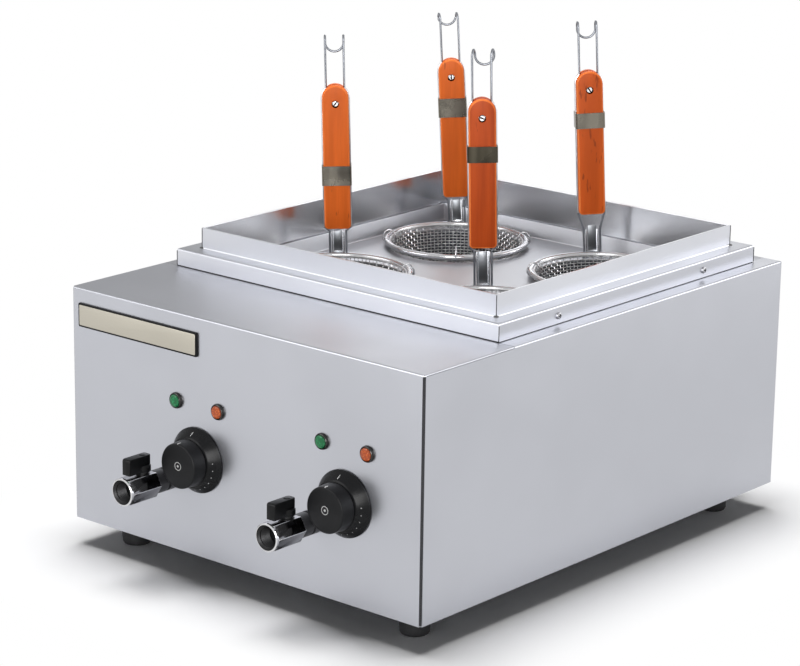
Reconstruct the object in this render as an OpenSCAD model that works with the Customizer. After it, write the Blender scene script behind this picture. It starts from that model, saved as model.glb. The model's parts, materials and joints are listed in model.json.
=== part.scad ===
// Counter-top pasta cooker: a twin-well electric boiler with four lift-out strainer baskets.
// Millimetres, +Z up, +Y to the rear, +X to the right as seen from the front.
// The origin is on the counter, under the middle of the whole outline.

/* [Case] */
// Thickness of the stainless sheet
sheet_t = 1.2; // [0.8:0.1:1.5]
// Height of the case above its feet
case_h = 221.6; // [205:0.2:260]
// Depth of the front deck, from the front face to the surround
deck_d = 118.5; // [105:0.5:160]
// Width of the top strip beside the surround
side_margin = 17.2; // [12:0.2:30]
// Width of the top strip behind the surround
rear_margin = 22.5; // [14:0.5:40]
// Slip gap between neighbouring sheets and pieces that don't move
slip = 0.1; // [0.05:0.05:0.2]
// Open seam between the deck and the side strips
seam_gap = 0.5; // [0.3:0.1:1]
// Height of the turned-up lip round the base plate
base_lip_h = 15; // [10:1:25]
// Width of the flange that the rear panel is screwed to
flange_w = 16; // [12:1:20]
// Height of the rubber feet
foot_h = 26; // [18:1:40]
// Diameter of a foot at the base plate
foot_top_d = 30; // [26:1:40]
// Diameter of a foot at the counter
foot_tip_d = 26.5; // [22:0.5:36]
// Distance from the case's sides to the centre of a foot
foot_inset = 40; // [30:1:60]

/* [Surround] */
// Width of the flat ledge round the upstand
ledge_w = 16.5; // [12:0.5:30]
// Height of the skirt below the ledge
skirt_h = 16.7; // [12:0.1:25]
// Height of the upstand above the ledge
upstand_h = 19.6; // [10:0.2:40]
// Open gap between the skirt and the case top
skirt_gap = 0.6; // [0.3:0.1:1.5]
// Distance between the two screws on each side of the skirt
surround_screw_pitch = 220; // [120:5:260]

/* [Tank and tray] */
// Depth of the wells, from the rim to the tank floor
tank_depth = 201; // [180:1:215]
// Depth of the tray's plate below the rim
tray_drop = 51; // [40:1:60]
// Height of the turned-up edge of the tray
tray_lip_h = 16.5; // [10:0.5:25]
// Gap between the tray and the tank walls
tray_gap = 2; // [1:0.5:4]
// Gap at rest under the tray and under the baskets
rest_gap = 0.3; // [0.2:0.05:0.5]
// Width of the rests that carry the tray
rest_w = 8; // [5:1:12]

/* [Basket] */
// Radius of the strainer ring, to the middle of its bar
ring_r = 68.8; // [60:0.2:76]
// Diameter of the ring's bar
ring_bar_d = 5.2; // [4:0.2:7]
// Diameter of the wire clips that hold the bowl to the ring
clip_d = 2.4; // [1.6:0.2:3]
// Clear distance between rings side by side
basket_gap_x = 37.2; // [25:0.2:50]
// Clear distance between rings front to back
basket_gap_y = 33.2; // [25:0.2:50]
// Clear distance from a ring to the side of the tray
tray_side = 10.4; // [8:0.2:30]
// Mean clear distance from a ring to the front and rear of the tray
tray_end = 12.4; // [11:0.2:30]
// How far the holes are set back from the tray's middle
hole_set_back = 5; // [0:0.5:6]
// Bearing of the ring on the plate round its hole
ring_bearing = 1.8; // [1:0.2:2.2]
// Clear height under the bowls, above the tank floor
bowl_clear = 45; // [38:1:60]
// Thickness of the woven bowl
bowl_wall = 1.6; // [1.2:0.2:2.4]
// How much narrower the bowl is at its shoulder than at its rim
bowl_taper = 9; // [4:1:16]
// Height of the bowl's rounded bottom
bowl_round_h = 34; // [20:1:45]

/* [Handle] */
// Diameter of the handle wire
wire_d = 2.2; // [1.6:0.1:3]
// Length of the wooden grip
grip_l = 140; // [120:1:170]
// Width of the wooden grip
grip_w = 25.5; // [22:0.5:32]
// Thickness of the wooden grip
grip_t = 15; // [11:0.5:20]
// Height of the grip's lower end above the ring, basket by basket
grip_rise = [26, 28, 38, 40]; // [26:1:60]
// Radius of the grip's lower corners
grip_corner_r = 4; // [2:0.5:8]
// Diameter of the hanging hole in the grip
hang_hole_d = 6; // [4:0.5:8]
// Distance of the hanging hole below the grip's top
hang_hole_drop = 18; // [14:1:30]
// Distance between the two stems of the hanging loop
loop_w = 17.5; // [14:0.5:18]
// Height of the hanging loop above the grip
loop_rise = 46; // [36:1:60]
// Bend radius where the loop folds back
loop_fold_r = 4.5; // [3:0.5:6]
// Depth of the folded loop below its peaks
loop_dip = 16; // [15:0.5:24]
// Width of the bracket that joins the handle to the ring
bracket_w = 19; // [18:0.5:24]
// Height of the bracket, basket by basket
bracket_h = [27, 28, 38, 28]; // [20:1:40]
// Thickness of the bracket's sheet
bracket_t = 1; // [0.8:0.1:1.4]
// Distance between the wires inside the bracket
bracket_wire_w = 14; // [12.5:0.5:15.5]
// Thickness of the steel band round the grip
band_t = 0.8; // [0.5:0.1:1.2]
// Height of the band, basket by basket
band_h = [19, 19, 15, 15]; // [10:1:25]
// Distance of the band below the grip's top, basket by basket
band_drop = [78, 39, 44, 40]; // [28:1:100]
// Turn of the handle about the basket, basket by basket
handle_turn = [41, 39, 41, 45]; // [0:1:90]
// Sideways lean of the handle, basket by basket
handle_lean = [1.6, 3.3, 1.6, 3]; // [0:0.1:5]
// Sideways set of the folded loop, basket by basket
loop_skew = [0, -2.3, 3, 0]; // [-4:0.1:4]

/* [Drain valve] */
// Diameter of the threaded mouth of the valve
mouth_d = 18.6; // [15:0.2:22]
// Depth of the threaded mouth
mouth_depth = 15; // [10:0.5:20]
// Wall round the mouth
mouth_wall = 3.4; // [2.5:0.1:5]
// Diameter of the valve's ball
ball_d = 16.4; // [14:0.2:20]
// Diameter of the waterway
waterway_d = 10; // [7:0.5:11]
// Running gap round the ball
ball_gap = 0.3; // [0.2:0.05:0.5]
// Thickness of the seats before and behind the ball
seat_t = 2.5; // [1.5:0.5:4]
// Wall of the hexagonal body at its flats
valve_wall = 2.9; // [2:0.1:4]
// Length of the tail behind the body
tail_l = 12; // [10:1:20]
// Diameter of the tail
tail_d = 21.6; // [20:0.2:23]
// Distance from the case's front to the tail
tail_stand_off = 10; // [8:1:15]
// Outside diameter of the drain pipe
pipe_d = 17; // [15:0.5:17.5]
// Wall of the drain pipe
pipe_wall = 2; // [1:0.5:3]
// Thickness of the drain pipe's lock nut
lock_nut_t = 7; // [4:0.5:7.5]
// Diameter of the valve's stem
stem_d = 6; // [5:0.5:7]
// Running gap round the stem and the shafts
shaft_gap = 0.05; // [0.02:0.01:0.1]
// Diameter of the lever's hub
hub_d = 15; // [13:0.5:18]
// Reach of the lever in front of the stem
lever_l = 20.5; // [16:0.5:24]
// Thickness of the lever's fin
lever_t = 6.2; // [4:0.2:9]
// Height of the lever
lever_h = 15; // [12:0.5:20]

/* [Controls] */
// Diameter of the dial bezel at the panel
bezel_d = 60.5; // [54:0.5:70]
// Diameter of the dial bezel at the knob
bezel_top_d = 46; // [44.5:0.5:52]
// Height of the dial bezel
bezel_h = 11; // [9:0.5:14]
// Diameter of the knob
knob_d = 43; // [36:0.5:44]
// Distance from the panel to the knob's face
knob_out = 25.5; // [24:0.5:34]
// Clear distance between the bezel and the drain valve
control_gap = 0.8; // [0.5:0.1:6]
// Direction from the drain valve to the knob, above the horizontal
knob_angle = 34; // [25:1:60]
// Diameter of the thermostat's shaft
shaft_d = 6; // [5:0.5:6.5]
// Width of a thermostat
thermostat_w = 34; // [28:1:36]
// Height of a thermostat
thermostat_h = 44; // [36:1:50]
// Depth of a thermostat
thermostat_d = 34; // [26:1:44]
// Diameter of a pilot lamp's flange
lamp_d = 15; // [12:0.5:18]
// Clear height between the bezel and the lamps
lamp_gap = 12.4; // [6:0.2:20]
// Distance between the two lamps over a knob
lamp_pitch = 51.4; // [30:0.2:60]

/* [Heating] */
// Diameter of the heating element's tube
element_d = 8.5; // [6.5:0.5:10]
// Height of the heating element's middle above the tank floor
element_rise = 15; // [12:1:18]
// Distance from the outer runs of the element to the walls of the well
element_margin = 32; // [24:1:40]
// Diameter of the thermostat's sensor bulb
bulb_d = 6; // [5:0.5:8]
// Height of the sensor bulb's middle above the tank floor
bulb_rise = 28; // [26.5:0.5:31]
// Diameter of the capillary tube
capillary_d = 2; // [1.4:0.2:2.6]

/* [Name plate] */
// Width of the blank name plate
plate_w = 150; // [80:5:160]
// Height of the blank name plate
plate_h = 22.5; // [15:0.5:30]
// Thickness of the blank name plate
plate_t = 2; // [1:0.5:4]
// Distance of the plate from the case's left side
plate_inset = 10; // [5:1:30]
// Distance of the plate below the case's top
plate_drop = 13.5; // [8:0.5:20]

/* [Cable entry] */
// Bore of the cable gland
gland_bore_d = 10; // [6:0.5:11]
// Reach of the cable gland behind the rear panel
gland_out = 20; // [16:1:30]
// Distance of the gland from the case's right side
gland_inset = 60; // [45:1:100]
// Height of the gland above the base plate
gland_rise = 30; // [28:1:38]

/* [Hidden] */
$fn = 48;
corners = ["front_left", "rear_left", "front_right", "rear_right"];
sides = ["left", "right"];
basket_pieces = ["basket_ring", "bowl", "handle_wire", "grip", "grip_band"];
valve_pieces = ["valve_ball", "valve_stem", "valve_lever", "lever_screw"];
fixed_nodes = ["front_cover", "left_side_panel", "right_side_panel", "rear_panel", "base_plate",
    "rubber_feet", "foot_screws", "top_surround", "surround_screws", "rear_screws", "tank",
    "heating_elements", "tank_fittings", "sensor_bulbs", "drain_pipes", "drain_lock_nuts",
    "valve_bodies", "valve_tails", "thermostats", "bush_nuts", "dial_bezels", "lamp_bodies",
    "green_lenses", "amber_lenses", "name_plate", "cable_gland", "terminal_block", "basket_tray"];

// Baskets, tray and tank, from the ring outwards
ring_out_r = ring_r + ring_bar_d / 2;
pitch = [2 * ring_out_r + basket_gap_x, 2 * ring_out_r + basket_gap_y];
tray = pitch + 2 * [ring_out_r + tray_side, ring_out_r + tray_end];
tank_in = tray + 2 * [tray_gap, tray_gap];
tank_out = tank_in + 2 * [sheet_t, sheet_t];
upstand = tank_out + 2 * [slip + sheet_t, slip + sheet_t];
surround = upstand + 2 * [ledge_w, ledge_w];
well_w = (tank_in[0] - sheet_t) / 2;
well_x = (well_w + sheet_t) / 2;

// Valve, along its own axis from the ball: the front and rear faces of its body
chamber_r = ball_d / 2 + ball_gap;
ball_flat = (waterway_d + ball_d) / 4;
body_front = chamber_r + seat_t + mouth_depth;
body_rear = chamber_r + seat_t;
body_flat_r = chamber_r + valve_wall;
mouth_r = mouth_d / 2;
valve_ring_r = mouth_r + mouth_wall;
neck_wall = 2.6;
neck_h = 2.5;
neck_r = stem_d / 2 + neck_wall;
neck_top = body_flat_r + neck_h;
lever_z = neck_top + rest_gap;
lever_screw_sink = 3;
lever_screw_t = 3.6;
lever_screw_r = stem_d / 2 + 1.6;
screw_seat = lever_z + lever_h - lever_screw_sink;
socket_depth = tail_l / 2;
valve_y = -(tail_stand_off + tail_l + body_rear);
valve_out = body_front - valve_y;

// Case, from the surround outwards
case_w = surround[0] + 2 * side_margin;
case_d = deck_d + surround[1] + rear_margin;
front_y = -(case_d + gland_out - valve_out) / 2;
rear_y = front_y + case_d;
half_w = case_w / 2;
surround_y = front_y + deck_d;
surround_rear_y = surround_y + surround[1];
tank_y = surround_y + surround[1] / 2;
tank_front = tank_y - tank_out[1] / 2;

// Heights
base_z = foot_h;
base_top = base_z + sheet_t;
top_z = foot_h + case_h;
ledge_z = top_z + skirt_h;
rim_z = ledge_z + upstand_h;
floor_z = rim_z - tank_depth;
tray_z = rim_z - tray_drop;
tray_under = tray_z - sheet_t;
rest_z = tray_under - rest_gap;
ring_z = tray_z + rest_gap + clip_d + slip + ring_bar_d / 2;
turn_up_clear = 2;
turn_up_h = skirt_h - sheet_t - turn_up_clear;
drain_clear = 0.6;
drain_z = floor_z + pipe_d / 2 + drain_clear;
bulb_z = floor_z + bulb_rise;
element_z = floor_z + element_rise;

// Heating elements and sensor bulbs, from the tank's front wall
element_pitch = (well_w - 2 * element_margin) / 3;
element_out = 22;
element_turn_y = 40;
bulb_out = 14;
bulb_in = 100;

// Controls: the knob's place from the valve, and the lamps' height
knob_reach = bezel_d / 2 + valve_ring_r + control_gap;
knob_dx = knob_reach * cos(knob_angle);
knob_z = drain_z + knob_reach * sin(knob_angle);
lamp_z = knob_z + bezel_d / 2 + lamp_d / 2 + lamp_gap;
bush_wall = 2;
bush_d = shaft_d + 2 * bush_wall;
bush_nut_wall = 3.5;
bush_nut_d = bush_d + 2 * bush_nut_wall;
bush_nut_t = 3;
bush_out = 5;
knob_clear = 0.5;
knob_face_t = 5;
knob_bore_l = knob_out - bezel_h - knob_clear - knob_face_t;
shaft_in = 12;
shaft_end_gap = 0.5;
lamp_rim = 1.4;
lamp_flange_t = 3;
lamp_step = 2;
lamp_barrel_d = lamp_d - 2 * lamp_step;
lens_seat = 0.6;
lens_out = 4.6;

// Fasteners
screw_r = 2;
screw_head_r = 3.2;
screw_head_t = 2.2;
screw_l = 8;
foot_screw_r = 2.5;
foot_head_r = 4.6;
foot_recess_r = 6.2;
foot_seat_z = foot_h / 3;

// Handle, about the ring's middle with the wire's own plane at wire_y
wire_r = wire_d / 2;
bracket_weld = 0.4;
bracket_y = ring_out_r - bracket_weld;
wire_y = bracket_y + bracket_t + slip + wire_r;
bracket_under = 1.4;
bracket_low = ring_bar_d / 2 + bracket_under;
groove_x = grip_w / 2 - wire_r;
groove_depth = wire_d + slip;
loop_leave = acos(min(1, loop_w / 2 / groove_x));
wire_sides = 10;

// Cable entry
gland_x = half_w - gland_inset;
gland_z = base_top + gland_rise;
gland_wall = 2.5;
gland_barrel_r = gland_bore_d / 2 + gland_wall;
gland_nut_wall = 4.5;
gland_nut_r = gland_barrel_r + gland_nut_wall;
gland_cap_step = 1.5;
gland_nut_t = 5;
gland_inside = 10;

// Nuts on the tank's front wall
wall_nut_wall = 2.6;

// Terminal block on the base plate, in line with the gland
block_size = [56, 22, 24];
block_ways = 5;
block_behind = 80;

function basket_at(i) = [(i < 2 ? -1 : 1) * pitch[0] / 2,
    tank_y + hole_set_back + (i % 2 == 0 ? -1 : 1) * pitch[1] / 2, ring_z];
function grip_top(i) = grip_rise[i] + grip_l;
function bracket_top(i) = bracket_h[i] - bracket_low;
function side_sign(i) = 2 * i - 1;
function well_at(i) = side_sign(i) * well_x;
function knob_at(i) = well_at(i) + knob_dx;
function element_x(i, k) = well_at(i) + (k - 1.5) * element_pitch;
function unit(v) = v / norm(v);

// Points of an arc about c, in the plane of the unit vectors u and v
function arc_points(c, u, v, r, from, to, steps) =
    [for (k = [0 : steps]) let (a = from + (to - from) * k / steps) c + r * (cos(a) * u + sin(a) * v)];

// A box given by its limits along each axis
module box(x, y, z) {
    translate([x[0], y[0], z[0]])
        cube([x[1] - x[0], y[1] - y[0], z[1] - z[0]]);
}

// A round bar or bore along +Y, from y[0] to y[1]
module rod_y(r, y) {
    translate([0, y[0], 0])
        rotate([-90, 0, 0])
            cylinder(r = r, h = y[1] - y[0]);
}

// A hexagonal bar along +Y with flats above and below
module hex_y(flat_r, y) {
    translate([0, y[0], 0])
        rotate([-90, 0, 0])
            cylinder(r = flat_r / cos(30), h = y[1] - y[0], $fn = 6);
}

// A box round the tank's middle, by its width and depth
module centred_box(size, z) {
    box([-size[0] / 2, size[0] / 2], [tank_y - size[1] / 2, tank_y + size[1] / 2], z);
}

// A rectangular frame of sheet round the tank's middle, by its outer width and depth
module frame(size, t, z) {
    difference() {
        centred_box(size, z);
        centred_box(size - 2 * [t, t], [z[0] - 1, z[1] + 1]);
    }
}

// Unit vectors across a tube at each point of its path, each carried on from the one before
function path_tangents(p) = let (n = len(p) - 1)
    [for (i = [0 : n]) unit(p[min(n, i + 1)] - p[max(0, i - 1)])];
function carried_normals(t, start) =
    [for (i = 0, n = start; i < len(t); i = i + 1, n = i < len(t) ? unit(n - (n * t[i]) * t[i]) : n) n];

// A closed round tube swept along a path
module tube(path, d, sides, start) {
    t = path_tangents(path);
    n = carried_normals(t, unit(start - (start * t[0]) * t[0]));
    points = [for (i = [0 : len(path) - 1]) for (k = [0 : sides - 1])
        path[i] + d / 2 * (cos(360 * k / sides) * n[i] + sin(360 * k / sides) * cross(t[i], n[i]))];
    last = sides * (len(path) - 1);
    walls = [for (i = [0 : len(path) - 2]) for (k = [0 : sides - 1])
        let (a = sides * i + k, b = sides * i + (k + 1) % sides)
        each [[a, a + sides, b], [b, a + sides, b + sides]]];
    ends = [[for (k = [0 : sides - 1]) k], [for (k = [sides - 1 : -1 : 0]) last + k]];
    polyhedron(points, concat(walls, ends), convexity = 8);
}

// Front panel and front deck, bent from one sheet, with a turned-up edge inside the surround's skirt
module front_cover() {
    inner_w = surround[0] / 2 - 2 * sheet_t - 2 * slip;
    turn_y = surround_y + sheet_t + slip;
    color("silver")
        difference() {
            union() {
                box([-half_w, half_w], [front_y, front_y + sheet_t], [base_z, top_z]);
                box([-half_w, half_w], [front_y, surround_y], [top_z - sheet_t, top_z]);
                box([-inner_w, inner_w], [surround_y - 1, turn_y + sheet_t], [top_z - sheet_t, top_z]);
                box([-inner_w, inner_w], [turn_y, turn_y + sheet_t], [top_z - sheet_t, top_z + turn_up_h]);
            }
            for (i = [0 : 1]) {
                panel_hole(well_at(i), drain_z, pipe_d / 2 + slip);
                panel_hole(knob_at(i), knob_z, bush_d / 2 + slip);
                for (s = [-1, 1])
                    panel_hole(knob_at(i) + s * lamp_pitch / 2, lamp_z, lamp_barrel_d / 2 + slip);
            }
        }
}

// A round hole through the front panel
module panel_hole(x, z, r) {
    translate([x, front_y, z])
        rod_y(r, [-1, sheet_t + 1]);
}

// One side panel with its top strip, its turned-up edge and its rear flange, on the +X side
module side_panel() {
    back = rear_y - sheet_t - slip;
    strip_y = surround_y + seam_gap;
    turn_x = surround[0] / 2 - 2 * sheet_t - slip;
    turn_clear = 2 * sheet_t + 4 * slip;
    difference() {
        union() {
            box([half_w - sheet_t, half_w], [front_y + sheet_t + slip, back],
                [base_z, top_z - sheet_t - slip]);
            box([half_w - sheet_t, half_w], [strip_y, back], [base_z, top_z]);
            box([turn_x, half_w], [strip_y, back], [top_z - sheet_t, top_z]);
            box([turn_x, turn_x + sheet_t], [surround_y + turn_clear, surround_rear_y - turn_clear],
                [top_z - sheet_t, top_z + turn_up_h]);
            box([half_w - flange_w, half_w], [back - sheet_t, back],
                [base_top + base_lip_h + slip, top_z - sheet_t - slip]);
        }
        surround_screw_places()
            surround_screw_shank(slip);
        rear_screw_places()
            rear_screw_shank(slip);
    }
}

module left_side_panel() {
    color("silver")
        mirror([1, 0, 0])
            side_panel();
}

module right_side_panel() {
    color("silver")
        side_panel();
}

// Rear panel with its top strip, turned up inside the surround's skirt
module rear_panel() {
    inner_w = surround[0] / 2 - 2 * sheet_t - 2 * slip;
    turn_y = surround_rear_y - 2 * sheet_t - slip;
    strip_w = inner_w - 2 * slip;
    color("silver")
        difference() {
            union() {
                box([-half_w, half_w], [rear_y - sheet_t, rear_y], [base_z, top_z]);
                box([-strip_w, strip_w], [turn_y, rear_y], [top_z - sheet_t, top_z]);
                box([-strip_w, strip_w], [turn_y, turn_y + sheet_t], [top_z - sheet_t, top_z + turn_up_h]);
            }
            for (s = [0, 1])
                mirror([s, 0, 0])
                    rear_screw_places()
                        rear_screw_shank(slip);
            translate([gland_x, rear_y, gland_z])
                rod_y(gland_barrel_r + slip, [-sheet_t - 1, 1]);
        }
}

// Base plate with a lip turned up inside the panels
module base_plate() {
    x = half_w - sheet_t - slip;
    y = [front_y + sheet_t + slip, rear_y - sheet_t - slip];
    color("darkgray")
        difference() {
            box([-x, x], y, [base_z, base_top + base_lip_h]);
            box([sheet_t - x, x - sheet_t], [y[0] + sheet_t, y[1] - sheet_t],
                [base_top, base_top + base_lip_h + 1]);
            foot_places()
                translate([0, 0, base_z - 1])
                    cylinder(r = foot_screw_r + slip, h = sheet_t + 2);
        }
}

// Places its children at the four feet
module foot_places() {
    for (x = [foot_inset - half_w, half_w - foot_inset])
        for (y = [front_y + foot_inset, rear_y - foot_inset])
            translate([x, y, 0])
                children();
}

// Tapered feet with a rounded lower edge and a recess for the screw
module rubber_feet() {
    tip_r = foot_tip_d / 2;
    top_r = foot_top_d / 2;
    edge_r = 2.5;
    edge = arc_points([tip_r - edge_r, edge_r], [1, 0], [0, 1], edge_r, -90, 0, 4);
    color("#1b1b1d")
        foot_places()
            difference() {
                rotate_extrude()
                    polygon(concat([[0, 0]], edge, [[top_r, foot_h - 2], [top_r, foot_h], [0, foot_h]]));
                translate([0, 0, -1])
                    cylinder(r = foot_recess_r, h = foot_seat_z + 1);
                cylinder(r = foot_screw_r + slip, h = foot_h + 1);
            }
}

// Screw through each foot, with its nut on the base plate
module foot_screws() {
    head_t = 3.5;
    nut_t = 4;
    color("gray")
        foot_places() {
            translate([0, 0, foot_seat_z - head_t])
                cylinder(r = foot_head_r, h = head_t);
            translate([0, 0, foot_seat_z - head_t / 2])
                cylinder(r = foot_screw_r, h = base_top + nut_t + 3 - foot_seat_z);
            translate([0, 0, base_top])
                cylinder(r = foot_head_r, h = nut_t, $fn = 6);
        }
}

// Surround: skirt, flat ledge and upstand, bent and welded from sheet
module top_surround() {
    color("silver")
        difference() {
            union() {
                frame(surround, sheet_t, [top_z + skirt_gap, ledge_z]);
                frame(surround, ledge_w + sheet_t, [ledge_z - sheet_t, ledge_z]);
                frame(upstand, sheet_t, [ledge_z - sheet_t, rim_z]);
            }
            for (s = [0, 1])
                mirror([s, 0, 0])
                    surround_screw_places()
                        surround_screw_shank(slip);
        }
}

// Places its children at the two screws on the +X side of the skirt, pointing out along +X
module surround_screw_places() {
    for (s = [-1, 1])
        translate([surround[0] / 2, tank_y + s * surround_screw_pitch / 2, top_z + (skirt_h - sheet_t) / 2])
            rotate([0, 0, -90])
                children();
}

module surround_screw_shank(extra) {
    rod_y(screw_r + extra, [-screw_l, screw_head_t / 2]);
}

module surround_screws() {
    color("lightgray")
        for (s = [0, 1])
            mirror([s, 0, 0])
                surround_screw_places() {
                    surround_screw_shank(0);
                    rod_y(screw_head_r, [0, screw_head_t]);
                }
}

// Places its children at the three rear screws on the +X side, pointing out along +Y
module rear_screw_places() {
    low = base_top + base_lip_h + flange_w;
    high = top_z - flange_w - sheet_t;
    for (k = [0 : 2])
        translate([half_w - flange_w / 2 - sheet_t / 2, rear_y, low + (high - low) * k / 2])
            children();
}

module rear_screw_shank(extra) {
    rod_y(screw_r + extra, [-screw_l, screw_head_t / 2]);
}

module rear_screws() {
    color("lightgray")
        for (s = [0, 1])
            mirror([s, 0, 0])
                rear_screw_places() {
                    rear_screw_shank(0);
                    rod_y(screw_head_r, [0, screw_head_t]);
                }
}

// Tank with two wells, a divider and rests for the tray, hung inside the upstand
module tank() {
    color("lightsteelblue")
        difference() {
            union() {
                frame(tank_out, sheet_t, [floor_z - sheet_t, rim_z - rest_gap]);
                centred_box(tank_out, [floor_z - sheet_t, floor_z]);
                centred_box([sheet_t, tank_out[1]], [floor_z - sheet_t, rest_z]);
                for (s = [0, 1])
                    translate([0, 2 * s * tank_y, 0])
                        mirror([0, s, 0])
                            box([-tank_out[0] / 2, tank_out[0] / 2],
                                [tank_front, tank_front + sheet_t + rest_w], [rest_z - sheet_t, rest_z]);
            }
            for (i = [0 : 1]) {
                tank_hole(well_at(i), drain_z, pipe_d / 2 + slip);
                tank_hole(well_at(i), bulb_z, bulb_d / 2 + slip);
                for (k = [0, 3])
                    tank_hole(element_x(i, k), element_z, element_d / 2 + slip);
            }
        }
}

// A round hole through the tank's front wall
module tank_hole(x, z, r) {
    translate([x, tank_front, z])
        rod_y(r, [-1, sheet_t + 1]);
}

// Lift-out plate with a turned-up edge and a hole for each basket
module basket_tray() {
    color("gainsboro")
        difference() {
            union() {
                centred_box(tray, [tray_under, tray_z]);
                frame(tray, sheet_t, [tray_under, tray_z + tray_lip_h]);
            }
            for (i = [0 : 3])
                translate([basket_at(i)[0], basket_at(i)[1], tray_under - 1])
                    cylinder(r = ring_r - ring_bearing, h = sheet_t + 2, $fn = 96);
        }
}

// Heating elements: four lengths across each well, joined at their ends by half turns
module heating_elements() {
    near = tank_front + element_turn_y;
    far = tank_front + tank_out[1] - element_turn_y;
    pin_l = 8;
    color("dimgray")
        for (i = [0 : 1])
            translate([0, 0, element_z]) {
                for (k = [0 : 3])
                    translate([element_x(i, k), 0, 0])
                        rod_y(element_d / 2, [k % 3 == 0 ? tank_front - element_out : near, far]);
                for (k = [0, 2])
                    translate([element_x(i, k + 0.5), far, 0])
                        rotate_extrude(angle = 180)
                            translate([element_pitch / 2, 0])
                                circle(d = element_d);
                translate([element_x(i, 1.5), near, 0])
                    rotate([0, 0, 180])
                        rotate_extrude(angle = 180)
                            translate([element_pitch / 2, 0])
                                circle(d = element_d);
                for (k = [0, 3])
                    translate([element_x(i, k), tank_front - element_out, 0])
                        rod_y(element_d / 4, [-pin_l, 1]);
            }
}

// Nuts on the outside of the tank's front wall, round the element ends and the sensor bulbs
module tank_fittings() {
    nut_t = 6;
    color("darkgoldenrod")
        for (i = [0 : 1]) {
            for (k = [0, 3])
                translate([element_x(i, k), tank_front, element_z])
                    wall_nut(element_d / 2, nut_t);
            translate([well_at(i), tank_front, bulb_z])
                wall_nut(bulb_d / 2, nut_t);
        }
}

// A hexagonal nut in front of the tank wall, round something of radius r
module wall_nut(r, t) {
    difference() {
        hex_y(r + wall_nut_wall, [-t, 0]);
        rod_y(r + slip, [-t - 1, 1]);
    }
}

// Sensor bulbs, with the capillary tubes that lead from them to the thermostats
module sensor_bulbs() {
    bulb_front = tank_front - bulb_out;
    bulb_rear = tank_front + bulb_in;
    box_rear = front_y + sheet_t + slip + thermostat_d;
    middle_y = (bulb_front + box_rear) / 2;
    color("peru")
        for (i = [0 : 1]) {
            from = [well_at(i), bulb_front + capillary_d, bulb_z];
            to = [knob_at(i), box_rear, knob_z];
            bend = (from[1] - to[1]) / 3;
            translate([well_at(i), 0, bulb_z])
                rod_y(bulb_d / 2, [bulb_front, bulb_rear]);
            tube([from, from - [0, bend / 2, 0],
                [(2 * from[0] + to[0]) / 3, middle_y + bend / 4, (2 * from[2] + to[2]) / 3],
                [(from[0] + 2 * to[0]) / 3, middle_y - bend / 4, (from[2] + 2 * to[2]) / 3],
                to + [0, bend / 2, 0], to], capillary_d, 8, [0, 0, 1]);
        }
}

// Drain pipes from the wells through the front panel into the valves
module drain_pipes() {
    tip = front_y - tail_stand_off - socket_depth + slip;
    color("silver")
        for (i = [0 : 1])
            translate([well_at(i), 0, drain_z])
                difference() {
                    rod_y(pipe_d / 2, [tip, tank_front + sheet_t]);
                    rod_y(pipe_d / 2 - pipe_wall, [tip - 1, tank_front + sheet_t + 1]);
                }
}

// Dark ring nuts that clamp the drain pipes to the front panel
module drain_lock_nuts() {
    color("#2e2e30")
        for (i = [0 : 1])
            translate([well_at(i), front_y, drain_z])
                difference() {
                    rod_y(tail_d / 2, [-lock_nut_t, 0]);
                    rod_y(pipe_d / 2 + slip, [-lock_nut_t - 1, 1]);
                }
}

// Places its children at a valve, with the ball's middle at the origin
module at_valve(i) {
    translate([well_at(i), front_y + valve_y, drain_z])
        children();
}

// Hexagonal valve bodies with a round front ring, a threaded mouth and a neck for the stem
module valve_bodies() {
    ring_l = 3;
    color("lightgray")
        for (i = [0 : 1])
            at_valve(i)
                difference() {
                    union() {
                        rod_y(valve_ring_r, [-body_front, ring_l - body_front]);
                        hex_y(body_flat_r, [ring_l - body_front, body_rear]);
                        translate([0, 0, chamber_r])
                            cylinder(r = neck_r, h = neck_top - chamber_r);
                    }
                    rod_y(mouth_r, [-body_front - 1, mouth_depth - body_front]);
                    rod_y(waterway_d / 2, [-body_front, 0]);
                    rod_y(chamber_r, [-chamber_r, body_rear + 1]);
                    cylinder(r = stem_d / 2 + shaft_gap, h = neck_top + 1);
                }
}

// Tails that close the valve bodies behind the ball and take the drain pipes
module valve_tails() {
    rear = body_rear + tail_l;
    spigot = body_rear - chamber_r;
    color("darkgray")
        for (i = [0 : 1])
            at_valve(i)
                difference() {
                    union() {
                        rod_y(tail_d / 2, [body_rear, rear]);
                        rod_y(chamber_r - slip, [body_rear - spigot, body_rear + 1]);
                    }
                    rod_y(waterway_d / 2, [0, rear]);
                    rod_y(pipe_d / 2 + slip, [rear - socket_depth, rear + 1]);
                }
}

// Ball with its waterway in line with the pipe, flat on top under the stem
module valve_ball(i) {
    r = ball_d / 2;
    color("gainsboro")
        at_valve(i)
            difference() {
                sphere(r = r);
                rod_y(waterway_d / 2, [-r - 1, r + 1]);
                translate([-r, -r, ball_flat])
                    cube([2 * r, 2 * r, r]);
            }
}

module valve_stem(i) {
    color("gray")
        at_valve(i)
            translate([0, 0, ball_flat])
                cylinder(r = stem_d / 2, h = screw_seat - ball_flat);
}

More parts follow.
